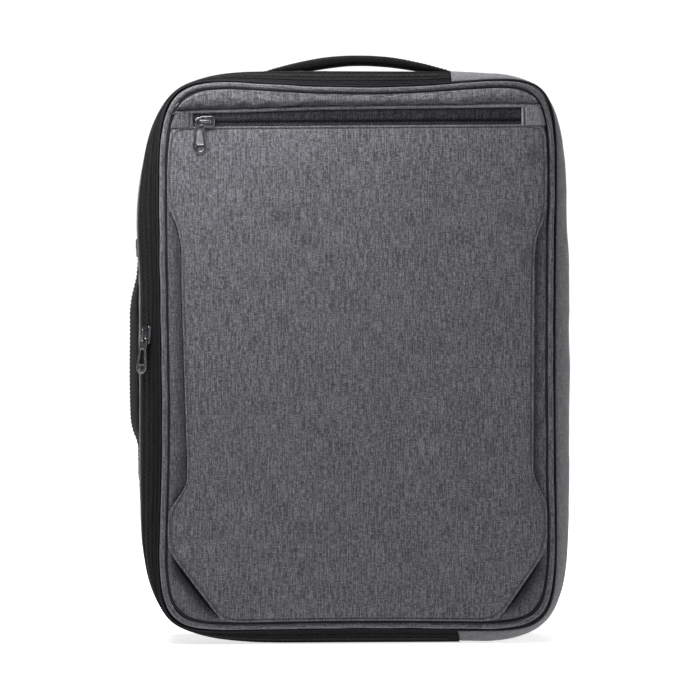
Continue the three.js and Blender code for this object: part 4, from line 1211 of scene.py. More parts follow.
        # The front panel takes the heather darkened as painted shade, and the back takes the plain heather.
        for name, face, sign, node, finish in (
            ("front panel cloth", self.shape.front, 1, "front_panel", self.finishes.shaded_heather),
            ("back panel cloth", self.shape.back, -1, "back_panel", self.finishes.heather),
        ):
            uneven = 0.25 * MM * undulation(x, z, 0.05, 21)
            points = np.stack([x, face(x, z) + sign * (dive + 0.25 * MM + uneven), z], axis=-1)
            piece = self.cloth(name, points, finish, node, self.wall, closed=True)
            self.front_cloth = self.front_cloth or piece


@dataclass
class FrontPocket(Sewn):
    """The padded layer on the front, with a notch in each side, cut low corners and a sewn hem."""

    under: Piece
    lip: float = 386.0 * MM
    left_notch: Path = ((0, 116.3), (10, 95), (12.7, 79.5), (12.7, 46), (17.2, -94), (0, -118.5))
    right_notch: Path = ((0, 110), (4.8, 99.8), (10, 89.9), (11.2, 78.8), (12.5, -89), (0, -112))
    cuts: tuple[float, float] = (44 * MM, 40 * MM)
    cut_height: float = 58 * MM
    pad: float = 3.6 * MM
    edge: float = 1.3 * MM
    hem: float = 1.5 * MM
    slope: float = 0.011
    flap: float = 3.9 * MM
    notch_lift: float = 1.5 * MM
    # How far the dark sheet of painted shade reaches out at the low corners, how far the painted shade on the
    # panel reaches beside the free edges, and its share of that reach on the left and on the right.
    gap: float = 2.8 * MM
    painted_shading: float = 5.5 * MM
    shade_side_shares: tuple[float, float] = (1.5, 0.85)

    def rim(self, count: int) -> tuple[Array, Array]:
        """The layer's outline: the body's rim cut back by the lines of notches, corners and lip.

        A ray d from the middle meets the line a + t * (b - a) at reach cross(a, b - a) / cross(d, b - a).

        Args:
            count: number of points.

        Returns:
            Points (x, z), shape (count, 2), and how far each lies inside the body's rim, shape (count,).
        """
        half_width, half_height = self.shape.panel_half
        lines = []
        for side, notch, cut in zip((-1, 1), (self.left_notch, self.right_notch), self.cuts):
            path = [(half_width - depth * MM, high * MM) for depth, high in notch]
            corner = ((half_width, self.cut_height - half_height), (half_width - cut, -half_height))
            lines += [(side, start, end) for start, end in (*zip(path, path[1:]), corner)]
        angles = np.arange(7200) * TURN / 7200
        xz = self.shape.seam(angles, self.shape.rim + self.shape.groove) - [0, self.shape.middle]
        level = np.maximum(xz[:, 1] - self.slope * xz[:, 0], 1e-6)
        share = np.minimum(1, (self.lip - self.shape.middle) / level)
        lip = share < 1
        for side, start, end in lines:
            ray = xz * [side, 1]
            run = np.subtract(end, start)
            with np.errstate(divide="ignore", invalid="ignore"):
                across = ray[:, 0] * run[1] - ray[:, 1] * run[0]
                reach = (start[0] * run[1] - start[1] * run[0]) / across
                along = (start[0] * ray[:, 1] - start[1] * ray[:, 0]) / across
            meets = (ray[:, 0] > 0) & (reach > 0) & (along >= 0) & (along <= 1)
            share = np.where(meets, np.minimum(share, reach), share)
        line = xz * share[:, None] + [0, self.shape.middle]
        free = np.where(lip, 0, np.linalg.norm(xz, axis=1) * (1 - share))
        table = np.column_stack([line, 0 * free, free])
        table = np.vstack([table, table[:1]])
        rows = soften(resample(table, np.linspace(0, arc_length(table[:, :3])[-1], count + 1))[:-1], 4)
        return rows[:, :2], rows[:, 3]

    def height(self, x: Array, z: Array, inwards: Array) -> Array:
        """How far the layer's outside stands off the panel.

        Args:
            x: sideways place.
            z: height.
            inwards: distance from the layer's own edge.

        Returns:
            The height in metres.
        """
        hem = self.edge + 0.9 * MM * ease(inwards / (1.2 * MM))
        groove = 1.15 * MM * hump(inwards, self.hem + 0.5 * MM, 0.8 * MM)
        swell = (self.pad - self.edge - 0.9 * MM) * ease((inwards - self.hem) / (14 * MM))
        soft = 0.55 * MM * undulation(x, z, 0.16, 31) + 0.16 * MM * undulation(x, z, 0.03, 32)
        return hem - groove + swell + soft * ease(inwards / (12 * MM))

    def build(self) -> None:
        """Makes the layer and its stitching."""
        count = 640
        rim, free = self.rim(count)
        normal = sideways(rim)
        middle = np.array([0.0, self.shape.middle])
        normal = normal * np.sign(np.sum(normal * (middle - rim)))
        near = np.concatenate([np.arange(0, 5.2, 0.4), [6.2, 7.5]]) * MM
        border = rim[:, None] + normal[:, None] * near[None, :, None]
        border = np.stack([soften(border[:, k], 2 + k) for k in range(len(near))], axis=1)
        share = np.linspace(0, 1, 64)[1:]
        inner = border[:, -1:]
        field_points = inner + (middle - inner) * (share**0.93)[None, :, None]
        xz = np.concatenate([border, field_points], axis=1)
        x, z = xz[..., 0], xz[..., 1]
        from_edge = np.linalg.norm(inner - middle, axis=-1) * 0.8
        close = np.broadcast_to(near, (count, len(near)))
        inwards = np.concatenate([close, near[-1] + from_edge * share], axis=1)
        low = ease((0.12 - z[:, :1]) / 0.03)
        lift = (self.notch_lift + (self.flap - self.notch_lift) * low) * ease(free[:, None] / (11 * MM))
        y = self.shape.front(x, z) - self.shape.clearance - self.height(x, z, inwards)
        y = y - lift * np.exp(-inwards / (15 * MM))
        y = y + self.filling(rim, x, z) * ease((inwards - self.hem) / (8 * MM))
        points = np.stack([x, y, z], axis=-1)
        tucked = rim + normal * (3.2 * MM * ease(free / (9 * MM)))[:, None]
        under = np.stack([tucked[:, 0], self.shape.front(*tucked.T) + 0.9 * MM, tucked[:, 1]], axis=-1)
        points = np.concatenate([under[:, None], points], axis=1)
        layer = self.cloth("front pocket cloth", points, self.finishes.heather, "front_pocket", closed=True)
        # Painted shade on the row tucked under the edge and in the stitched groove; a painted highlight along
        # the folded edge at the lip and down the right side.
        upper = ease((z[:, 0] - self.lip + 5 * MM) / (3 * MM))
        fold = hump(inwards, 0.7 * MM, 0.75 * MM) * (0.04 * upper + 0.05 * (rim[:, 0] > 0))[:, None]
        sewn = 0.4 * hump(inwards, self.hem + 0.5 * MM, 0.5 * MM)
        mark(layer, np.concatenate([0.9 + 0 * inwards[:, :1], sewn - fold], axis=1))
        self.shade_sheet(rim, normal, free, low[:, 0])
        seam = points[:, 1 + int(self.hem / (0.4 * MM)) + 2]
        run = Builder("front pocket stitches")
        run.stitches(seam + 0.05 * MM * FORWARD, FORWARD, 3.2 * MM, 0.24 * MM, closed=True)
        run.object(self.finishes.grey_thread)

    def filling(self, rim: Array, x: Array, z: Array) -> Array:
        """How the padding moves the layer's cloth between its hems, from the cloth solver.

        Args:
            rim: the layer's outline, shape (n, 2).
            x: sideways places.
            z: heights.

        Returns:
            The movement along y.
        """
        middle = self.shape.middle
        around = np.arctan2(rim[:, 1] - middle, rim[:, 0])
        reach = np.linalg.norm(rim - [0, middle], axis=1)

        def sewn(net_x: Array, net_z: Array) -> Array:
            """Returns where the net lies outside the hem."""
            limit = np.interp(np.arctan2(net_z - middle, net_x), np.sort(around), reach[np.argsort(around)])
            return np.hypot(net_x, net_z - middle) > limit - 7 * MM

        def depth(net_x: Array, net_z: Array) -> Array:
            """Returns the layer's depth over its padding, with the cloth's own unevenness."""
            return self.shape.front(net_x, net_z) - self.pad - 0.4 * MM * undulation(net_x, net_z, 0.05, 33)

        box = (self.shape.panel_half[0], float(rim[:, 1].min()), float(rim[:, 1].max()))
        return Cushioning(pressure=0.8, spare=0.006, cap=2.0 * MM).over(x, z, box, depth, sewn)

    def shade_sheet(self, rim: Array, normal: Array, free: Array, low: Array) -> None:
        """Makes a dark sheet that stands in as painted shade in the gap under the layer's free edges.

        Args:
            rim: the layer's outline, shape (n, 2).
            normal: inward directions along it, shape (n, 2).
            free: how far each point lies inside the body's rim.
            low: 1 along the low corners and 0 higher up.

        Returns:
            None.
        """
        reach = 0.6 * MM * ease(free / (4 * MM))
        reach = reach + (self.gap - 0.6 * MM) * low * ease((free - 3 * MM) / (16 * MM))
        share = np.linspace(0, 1, 7)[None, :, None]
        outer = rim - normal * np.minimum(reach, np.maximum(free - 2.5 * MM, 0))[:, None]
        inner = rim + normal * 4.5 * MM
        xz = inner[:, None] + (outer - inner)[:, None] * share
        x, z = xz[..., 0], xz[..., 1]
        inside = 1.3 * MM * ease((4 * MM - free) / (2 * MM))[:, None]
        y = self.shape.front(x, z) + 0.2 * MM - 0.45 * MM * np.sin(math.pi * share[..., 0]) + inside
        points = np.stack([x, y, z], axis=-1)
        self.cloth("front pocket lining", points, self.finishes.shade, wall=0.3 * MM, closed=True)
        self.paint_gap_shade(outer, free, low)

    def paint_gap_shade(self, edge: Array, free: Array, low: Array) -> None:
        """Paints shade on the cloth under the layer beside its free edges, as exp(-(d / w)^2) from the free
        edge.

        Args:
            edge: the outer edge of the dark sheet of painted shade, shape (n, 2).
            free: how far each point lies inside the body's rim.
            low: 1 along the low corners and 0 higher up.

        Returns:
            None.
        """
        mesh = self.under.data
        place = np.empty(len(mesh.vertices) * 3, np.float32)
        mesh.vertices.foreach_get("co", place)
        place = place.reshape(-1, 3)[:, [0, 2]]
        kept = (free > 3 * MM)[None, :]
        depth = np.zeros(len(place))
        beside = np.where(edge[:, 0] < 0, *self.shade_side_shares)
        wide = self.painted_shading * (beside + (1 - beside) * low) * ease((free - 2 * MM) / (14 * MM)) + 0.01 * MM
        for block in np.array_split(np.arange(len(place)), 24):
            far = np.linalg.norm(place[block, None] - edge[None], axis=-1)
            shade_amount = (0.62 + 0.28 * low)[None] * np.exp(-((far / wide[None]) ** 2))
            depth[block] = np.max(np.where(kept, shade_amount, 0), axis=1)
        mark(self.under, depth)


def soften(line: Array, reach: int) -> Array:
    """Rounds a closed line's corners with a triangular running mean.

    Args:
        line: points, shape (n, k).
        reach: neighbours on each side.

    Returns:
        The rounded line.
    """
    weights = np.concatenate([np.arange(1, reach + 2), np.arange(reach, 0, -1)]).astype(float)
    weights /= weights.sum()
    shifted = [np.roll(line, k - reach, axis=0) * w for k, w in enumerate(weights)]
    return np.sum(shifted, axis=0)


# Zips, sliders and pullers


def plate(
    name: str,
    outlines: Sequence[Array],
    thickness: float,
    bevel: float,
    place: Array,
    lift: float = 0.0,
) -> Mesh:
    """A flat plate with rounded edges, filled from an outline and its holes.

    Args:
        name: the mesh's name.
        outlines: the outer outline and then the holes, each of shape (n, 2), in metres.
        thickness: full thickness, about the plane of the outlines.
        bevel: radius of the rounded edges.
        place: rows x, y, z and origin of the plate's frame, shape (4, 3).
        lift: how far the plate's middle lies along its own z.

    Returns:
        The mesh in the row frame.
    """
    curve = bpy.data.curves.new(name, "CURVE")
    curve.dimensions = "2D"
    curve.fill_mode = "BOTH"
    curve.extrude = max(thickness / 2 - bevel, 0.01 * MM)
    curve.bevel_depth = bevel
    curve.bevel_resolution = 2
    curve.offset = -bevel
    for outline in outlines:
        spline = curve.splines.new("POLY")
        spline.points.add(len(outline) - 1)
        rows = np.hstack([outline, np.zeros((len(outline), 1)), np.ones((len(outline), 1))])
        spline.points.foreach_set("co", rows.astype(np.float32).ravel())
        spline.use_cyclic_u = True
    holder = bpy.data.objects.new(name, curve)
    bpy.context.scene.collection.objects.link(holder)
    bpy.context.view_layer.update()
    mesh = bpy.data.meshes.new_from_object(holder.evaluated_get(bpy.context.evaluated_depsgraph_get()))
    bpy.data.objects.remove(holder)
    bpy.data.curves.remove(curve)
    made = bmesh.new()
    made.from_mesh(mesh)
    bmesh.ops.remove_doubles(made, verts=made.verts, dist=0.004 * MM)
    bmesh.ops.recalc_face_normals(made, faces=made.faces)
    made.to_mesh(mesh)
    made.free()
    co = np.empty(len(mesh.vertices) * 3, np.float32)
    mesh.vertices.foreach_get("co", co)
    local = co.reshape(-1, 3) + [0, 0, lift]
    mesh.vertices.foreach_set("co", (local @ place[:3] + place[3]).astype(np.float32).ravel())
    mesh.update()
    mesh.polygons.foreach_set("use_smooth", np.full(len(mesh.polygons), True))
    mesh.set_sharp_from_angle(angle=math.radians(40))
    return mesh


def join(name: str, meshes: Sequence[Mesh], finish: Material, body: str) -> Piece:
    """Joins meshes into one piece that rides on a body.

    Args:
        name: the piece's name.
        meshes: meshes in the row frame.
        finish: its material.
        body: the frame's body.

    Returns:
        The piece.
    """
    made = bmesh.new()
    for mesh in meshes:
        made.from_mesh(mesh)
    whole = bpy.data.meshes.new(name)
    made.to_mesh(whole)
    made.free()
    whole.polygons.foreach_set("use_smooth", np.full(len(whole.polygons), True))
    whole.set_sharp_from_angle(angle=math.radians(40))
    return put_in(name, whole, finish, body)


def arc(centre: tuple[float, float], radius: float, start: float, end: float, count: int = 12) -> Array:
    """Returns points on an arc, centre + radius * (cos, sin), with angles in degrees."""
    turn = np.radians(np.linspace(start, end, count))
    return np.stack([centre[0] + radius * np.cos(turn), centre[1] + radius * np.sin(turn)], axis=1)


def rounded_polygon(corners: Sequence[tuple[float, float]], radius: float, steps: int = 5) -> Array:
    """A polygon whose corners are quadratic curves that start a given length before each corner.

    Args:
        corners: the polygon's points.
        radius: length cut from both sides of each corner.
        steps: points on each corner's curve.

    Returns:
        The outline, shape (corners * steps, 2).
    """
    here = np.array(corners, float)
    before = here + unit(np.roll(here, 1, axis=0) - here) * radius
    after = here + unit(np.roll(here, -1, axis=0) - here) * radius
    t = np.linspace(0, 1, steps)[None, :, None]
    curve = (1 - t) ** 2 * before[:, None] + 2 * t * (1 - t) * here[:, None] + t**2 * after[:, None]
    return curve.reshape(-1, 2)


@dataclass
class ZipRunner:
    """A slider with its bridge, and a puller with a ring, a sunk field and a cord hole."""

    name: str
    nodes: tuple[str, str]
    body: str
    seat: Array
    along: Array
    out: Array
    ring: Array
    hang: Array
    finishes: Finishes
    inlay: Material
    plate: float = 2.2 * MM
    gap: float = 2.8 * MM
    bar: float = 1.2 * MM
    thickness: float = 1.6 * MM
    reach: float = 24 * MM
    end_width: float = 10.7 * MM
    ring_radius: float = 3.75 * MM
    eye_radius: float = 2.1 * MM

    def frames(self) -> tuple[Array, Array, Array]:
        """Returns the frames of the plate, the bridge and the puller, as rows x, y, z and origin."""
        side = np.cross(self.out, self.along)
        flat = np.stack([self.along, side, self.out, self.seat])
        upright = np.stack([self.along, self.out, -side, self.seat])
        across = np.cross(-self.hang, self.out)
        puller = np.stack([across, -self.hang, self.out, self.ring])
        return flat, upright, puller

    def slider(self) -> None:
        """Makes the slider: a waisted plate, a second plate under its shoulders and a bent bridge."""
        flat, upright, _ = self.frames()
        half, wide, narrow = 7 * MM, 4.4 * MM, 3.2 * MM
        shoulder, tail = 2.2 * MM, 1.2 * MM
        outline = np.vstack(
            [
                arc((half - shoulder, wide - shoulder), shoulder, 0, 90, 8),
                [(1.0 * MM, wide), (-2.5 * MM, wide * 0.94), (-5.2 * MM, narrow * 1.04)],
                arc((-half + tail, narrow - tail), tail, 90, 180, 6),
                arc((-half + tail, -narrow + tail), tail, 180, 270, 6),
                [(-5.2 * MM, -narrow * 1.04), (-2.5 * MM, -wide * 0.94), (1.0 * MM, -wide)],
                arc((half - shoulder, -wide + shoulder), shoulder, 270, 360, 8),
            ]
        )
        top = plate(self.name, [outline], 1.3 * MM, 0.45 * MM, flat, lift=self.plate - 0.65 * MM)
        low = plate(self.name, [outline * 0.96], 0.8 * MM, 0.25 * MM, flat, lift=0.4 * MM)
        reach, foot, high = 5 * MM, 1.5 * MM, self.gap + self.bar
        bend, nook = 1.8 * MM, 0.7 * MM
        root = -self.plate / 2
        bridge = np.vstack(
            [
                [(-reach, root)],
                arc((-reach + bend, high - bend), bend, 180, 90, 7),
                arc((reach - bend, high - bend), bend, 90, 0, 7),
                [(reach, root), (reach - foot, root)],
                arc((reach - foot - nook, self.gap - nook), nook, 0, 90, 5),
                arc((-reach + foot + nook, self.gap - nook), nook, 90, 180, 5),
                [(-reach + foot, root)],
            ]
        )
        bridge[:, 1] += self.plate
        arch = plate(self.name, [bridge], 2.2 * MM, 0.4 * MM, upright)
        piece = join(f"{self.name} slider body", [top, low, arch], self.finishes.metal, "bag")
        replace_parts(piece, self.nodes[0])

    def sunk(self, more: float) -> Array:
        """Returns the outline of the puller's sunk field, wider all round by some length."""
        high, low = -5.9 * MM + more, -16.3 * MM - more
        top, bottom = 1.7 * MM + more, 2.7 * MM + more
        return rounded_polygon([(-top, high), (top, high), (bottom, low), (-bottom, low)], 0.9 * MM)

    def puller(self) -> None:
        """Makes the puller: a rim with an eye, a field and a cord hole, and a thinner plate in the field."""
        _, _, frame_of = self.frames()
        end = self.end_width / 2
        low = -self.reach + end
        outline = np.vstack(
            [
                arc((0, 0), self.ring_radius, 0, 180, 22),
                [(-self.ring_radius * 0.93, -5.6 * MM)],
                arc((0, low), end, 180, 360, 26),
                [(self.ring_radius * 0.93, -5.6 * MM)],
            ]
        )
        eye = arc((0, 0), self.eye_radius, 360, 18, 20)
        cord_low = -self.reach + 2.5 * MM
        cord_hole = np.vstack(
            [
                arc((-2.1 * MM, cord_low + 3.3 * MM), 0.7 * MM, 180, 90, 5),
                arc((2.1 * MM, cord_low + 3.3 * MM), 0.7 * MM, 90, 0, 5),
                arc((0, cord_low + 2.8 * MM), 2.8 * MM, 0, -180, 14),
            ]
        )
        holes = [eye, self.sunk(0.0), cord_hole]
        rim = plate(self.name, [outline, *holes], self.thickness, 0.42 * MM, frame_of)
        inlay = plate(self.name, [self.sunk(0.5 * MM)], 0.75 * MM, 0.1 * MM, frame_of)
        piece = join(f"{self.name} puller tab", [rim], self.finishes.metal, self.body)
        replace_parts(piece, self.nodes[1])
        join(f"{self.name} puller inlay", [inlay], self.inlay, self.body)

    def build(self) -> None:
        """Makes both pieces."""
        self.slider()
        self.puller()


def coil_turns(
    name: str, line: Array, out: Array, pitch: float, width: float, finish: Material
) -> Piece:
    """The turns of a zip's coil: rounded bars that lie across a line, alternately a little left and right.

    Args:
        name: the piece's name.
        line: the zip's line, shape (n, 3).
        out: the outward direction along it, shape (n, 3).
        pitch: distance between turns.
        width: length of a turn across the zip.
        finish: its material.

    Returns:
        The piece.
    """
    rows = np.hstack([line, np.broadcast_to(out, line.shape)])
    count = int(arc_length(line)[-1] / pitch)
    here, along, outwards, side = beads(rows, count, pitch)
    share = np.array([-0.5, -0.42, -0.2, 0.0, 0.2, 0.42, 0.5])
    girth = np.array([0.15, 0.8, 1.0, 0.82, 1.0, 0.8, 0.15])
    high = np.array([-0.5, 0.0, 0.3, 0.1, 0.3, 0.0, -0.5]) * 0.5 * MM
    turn = np.arange(7) * TURN / 7
    offset = np.where(np.arange(count) % 2 == 0, 0.12, -0.12)
    middle = here[:, None] + side[:, None] * ((share[None] + offset[:, None]) * width)[..., None]
    middle = middle + outwards[:, None] * high[None, :, None]
    first = along[:, None, None] * (girth[:, None] * np.cos(turn))[None, :, :, None] * pitch * 0.4
    second = outwards[:, None, None] * (girth[:, None] * np.sin(turn))[None, :, :, None] * 0.5 * MM
    build = Builder(name)
    build.copies(middle[:, :, None] + first + second)
    return build.object(finish)


@dataclass
class FrontZip(Sewn):
    """The zip across the top of the front, its tabs, and the padded strip above it."""

    length: float = 245 * MM
    top: float = 398.1 * MM
    bottom: float = 386.0 * MM
    line: float = 389.5 * MM
    top_slope: float = 0.018
    bottom_slope: float = 0.011
    line_slope: float = 0.0105
    inset: float = 9.3 * MM
    strip_edge: float = 1.2 * MM
    strip_roll: float = 3.3 * MM
    strip_seam: float = 3.1 * MM
    wall: float = 0.8 * MM

    def rim_height(self, x: Array) -> Array:
        """Returns the height of the panel's upper rim over x, read off the seam."""
        line = self.shape.seam(np.linspace(0.98, 0.02, 900) * math.pi, self.shape.rim)
        return np.interp(x, np.maximum.accumulate(line[:, 0]), line[:, 1])

    def rim_width(self, z: Array, side: int) -> Array:
        """Returns the panel's half width over z on one side, read off the seam."""
        angles = np.linspace(0.1, 1.4, 900)
        line = self.shape.seam(angles if side > 0 else math.pi - angles, self.shape.rim)
        return np.interp(z, np.maximum.accumulate(line[:, 1]), np.abs(line[:, 0]))

    def over(self, x: Array) -> Array:
        """Returns the height of the strip's lower lip, which bends down towards its left end."""
        return self.top + self.top_slope * x - 1.6 * MM * ease((-20 * MM - x) / (100 * MM))

    def build(self) -> None:
        """Makes tape, coil, tabs and strip, and their stitches."""
        self.tape()
        self.tabs()
        self.strip()

    def tape(self) -> None:
        """Makes the black tape, ribbed along its length, and the coil's turns on it."""
        half = self.length / 2 + 4 * MM
        x = np.linspace(-half, half, 140)[:, None]
        share = np.linspace(0, 1, 42)[None, :]
        low = self.bottom + self.bottom_slope * x - 1.5 * MM
        z = low + (self.over(x) + 1.5 * MM - low) * share
        ribs = 0.12 * MM * np.sin(TURN * z / (1.3 * MM))
        fold = 0.35 * MM * hump(z, self.line + self.line_slope * x + 2.6 * MM, 0.5 * MM)
        meeting = hump(z, self.line + self.line_slope * x, 0.9 * MM)
        lift = self.shape.clearance + 0.75 * MM + ribs + fold - 0.7 * MM * meeting + 0 * x
        y = self.shape.front(x, z) - lift
        points = np.stack([x + 0 * z, y, z + 0 * x], axis=-1)
        piece = self.cloth("front zip tape cloth", points, self.finishes.tape, "front_zip_tape", 0.6 * MM)
        # Painted shade along the line where the two tapes meet and under the strip's lip.
        mark(piece, 0.85 * meeting + 0.5 * hump(z, self.over(x), 1.2 * MM))
        xs = np.linspace(-self.length / 2 + self.inset + 6 * MM, self.length / 2 - 0.5 * MM, 80)
        zs = self.line + self.line_slope * xs
        line = np.stack([xs, self.shape.front(xs, zs) - self.shape.clearance - 0.5 * MM, zs], axis=1)
        coil = coil_turns("front zip coil turns", line, FORWARD, 1.5 * MM, 2.2 * MM, self.finishes.shade)
        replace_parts(coil, "front_zip_coil")

    def tabs(self) -> None:
        """Makes the grey cloth that covers both ends of the zip."""
        half_width = self.shape.panel_half[0]
        for side, node in ((-1, "front_zip_tab_left"), (1, "front_zip_tab_right")):
            share = np.linspace(0, 1, 34)[:, None]
            x = side * (self.length / 2 + (half_width - self.length / 2) * share)
            low = self.bottom + self.bottom_slope * x - 0.8 * MM
            z = low + (self.over(x) + 1.2 * MM - low) * np.linspace(0, 1, 24)[None, :]
            reach = self.rim_width(z, side) - 0.7 * MM - self.length / 2
            x = side * (self.length / 2 + reach * share)
            edge = share * 20 * MM
            lift = 0.7 * MM + 1.7 * MM * ease(edge / (0.6 * MM)) - 1.1 * MM * hump(edge, 3.0 * MM, 0.8 * MM)
            lift = lift - 1.4 * MM * ease((share - 0.86) / 0.14)
            lift = lift + 0.2 * MM * undulation(x, z, 0.012, 41)
            y = self.shape.front(x, z) - self.shape.clearance - lift
            points = np.stack([x + 0 * z, y, z + 0 * x], axis=-1)
            piece = self.cloth(f"{node} cloth", points, self.finishes.heather, node, self.wall)
            # Painted shade in the groove 3 mm in from the tab's end, a painted highlight on the end's fold,
            # and painted shade on the left tab and painted light on the right one.
            folds = 0.4 * hump(edge, 3.0 * MM, 0.6 * MM) - 0.2 * hump(edge, 0.8 * MM, 0.8 * MM)
            mark(piece, folds + 0.055 - 0.245 * side + 0 * z)

    def strip(self) -> None:
        """Makes the strip over the zip: a soft roll with small gathers, folded in at its lower lip."""
        reach = self.shape.panel_half[0] * 0.957
        x = (np.sin(np.linspace(-0.5, 0.5, 240) * math.pi * 0.86) / math.sin(0.43 * math.pi) * reach)[:, None]
        x = x * (1 + 0.016 * ease(-x / 0.12))
        low = self.over(x)
        high = np.maximum(self.rim_height(x) - 0.9 * MM, low + 0.2 * MM)
        share = np.linspace(0, 1, 48)[None, :]
        z = low + (high - low) * share
        up = (high - low) * share
        puff = np.clip((up - 3.0 * MM) / np.maximum(high - low - 3.0 * MM, 1 * MM), 0, 1)
        roll = self.strip_edge + self.strip_roll * np.sin(math.pi * puff**0.85) ** 0.9
        lip = ease(up / (0.6 * MM)) * 1.4 * MM - 1.9 * MM * hump(up, self.strip_seam, 1.2 * MM)
        gathers = 0.4 * MM * undulation(x, z * 0.3, 0.034, 51) * np.sin(math.pi * puff)
        y = self.shape.front(x, z) - self.shape.clearance - roll - lip - gathers
        points = np.stack([x + 0 * z, y, z], axis=-1)
        net = regrid(points, 150, 16)
        held = np.zeros(net.shape[:2], bool)
        held[[0, -1]] = True
        held[:, [0, 1, 2, 3, -1]] = True
        filling = Cushioning(pressure=1.5, spare=0.03, mass=0.01, cap=2.4 * MM)
        gathered = filling.settle(net, held, self.shape.inside)
        points = points + regrid(gathered, *points.shape[:2])
        under = points[:, :1] + [0, 2.2 * MM, 0.2 * MM]
        over = points[:, -1:] + [0, 3.0 * MM, 0.3 * MM]
        points = np.concatenate([under, points, over], axis=1)
        finish = self.finishes.heather
        piece = self.cloth("front top strip cloth", points, finish, "front_top_strip", self.wall)
        # Painted shade in the sewn groove above the lip and on the roll's lower part, less towards the right;
        # a painted highlight on the lip; painted shade on the left part and painted light on the right;
        # painted shade on the rows tucked under both edges.
        tone = 0.4 * hump(up, self.strip_seam, 1.0 * MM) - 0.22 * hump(up, 0.9 * MM, 0.9 * MM)
        tone = tone + (0.4 - 0.22 * ease((x + 0.03) / 0.12)) * hump(up, 4.6 * MM, 3.4 * MM)
        tone = tone + 0.15 - 0.23 * ease((x + 0.02) / 0.13)
        mark(piece, np.concatenate([0.9 + 0 * up[:, :1], tone, 0.9 + 0 * up[:, :1]], axis=1))
        seam = points[8:-4, 1 + 9]
        run = Builder("front top strip stitches")
        run.stitches(seam + 0.05 * MM * FORWARD, FORWARD, 3.0 * MM, 0.2 * MM)
        run.object(self.finishes.grey_thread)


@dataclass
class MainZip(Sewn):
    """The coil of the zip that opens the bag, on the black band."""

    body: Body
    end_gap: float = 8 * MM

    def build(self) -> None:
        """Makes the coil's turns, on the band's own surface."""
        high, low = self.body.band_angles()
        gap = self.end_gap / self.shape.half_height
        angles = self.shape.angles(700, high + gap, low - gap)
        points = self.shape.gusset(angles, *self.shape.front_rows, 96, (0.0, 0.0))
        normals = surface_normals(points, False, self.shape.inside)
        across = arc_length(points[350])
        column = int(np.argmin(np.abs(across - self.body.zip_at)))
        line = points[:, column] - normals[:, column] * 0.15 * MM
        out = normals[:, column]
        coil = coil_turns("main zip coil turns", line, out, 1.8 * MM, 3.2 * MM, self.finishes.coil)
        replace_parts(coil, "main_zip_coil")


# Handles and the harness on the back


@dataclass
class StrapForm:
    """A strap with a rounded flat section along a line that it is bent over."""

    middles: Array
    face: Array
    width: Array
    thickness: Array
    lean: Union[float, Array] = 0.0

    def frames(self) -> tuple[Array, Array]:
        """Returns the directions across the strap and out of its face, turned about the line by the lean."""
        along = unit(np.gradient(self.middles, axis=0))
        across = unit(np.cross(self.face, along))
        out = unit(np.cross(along, across))
        cosine = np.broadcast_to(np.cos(self.lean), (len(along),))[:, None]
        sine = np.broadcast_to(np.sin(self.lean), (len(along),))[:, None]
        return cosine * across + sine * out, cosine * out - sine * across

    def skin(self, name: str, power: float = 3.2, count: int = 40, edge_dip: float = 0.0) -> Builder:
        """The strap's outside as a capped tube.

        Args:
            name: the mesh's name.
            power: boxiness of the section.
            count: points round the section.
            edge_dip: depth of the stitched grooves along both edges.

        Returns:
            A builder that holds the surface.
        """
        across, out = self.frames()
        section = rounded_section(self.width, self.thickness, power, count)
        from_edge = np.abs(self.width)[:, None] / 2 - np.abs(section[..., 0])
        groove = edge_dip * hump(from_edge, 3.2 * MM, 1.1 * MM)
        section[..., 1] -= np.sign(section[..., 1]) * np.minimum(groove, np.abs(section[..., 1]) * 0.5)
        points = tube(self.middles, across, out, section)
        run = arc_length(self.middles)
        round_it = np.concatenate([np.arange(count) * 1.0, [count]]) / count * 2 * float(np.max(self.width))
        return Builder(name).grid(points, ring_uv(run, round_it)[..., ::-1], wrap_columns=True, capped=True)

    def seam(self, side: float, inset: float, lift: float) -> tuple[Array, Array]:
        """A line for stitches along one edge.

        Args:
            side: -1 or 1 for the edge.
            inset: distance from the edge.
            lift: how far over the middle of the section, as a share of half the thickness.

        Returns:
            The line and its outward direction.
        """
        across, out = self.frames()
        reach = (self.width / 2 - inset)[:, None] * side
        return self.middles + across * reach + out * (self.thickness / 2 * lift)[:, None], out

    def sew(self, name: str, lift: float, radius: float, thread: Material) -> None:
        """Sews both edges of the outer face.

        Args:
            name: the stitches' name.
            lift: as for the seam.
            radius: the thread's radius.
            thread: its material.

        Returns:
            None.
        """
        seams = Builder(name)
        for side in (-1.0, 1.0):
            seams.stitches(*self.seam(side, 3.2 * MM, lift), 3.2 * MM, radius)
        seams.object(thread)


def bowed(profile: Array, count: int) -> Array:
    """Returns a half profile, rows from the middle's end to its middle, mirrored and made smooth."""
    mirrored = np.vstack([profile * [-1, 1, 1, 1], profile[::-1][1:]])
    return smooth_rows(mirrored, count)


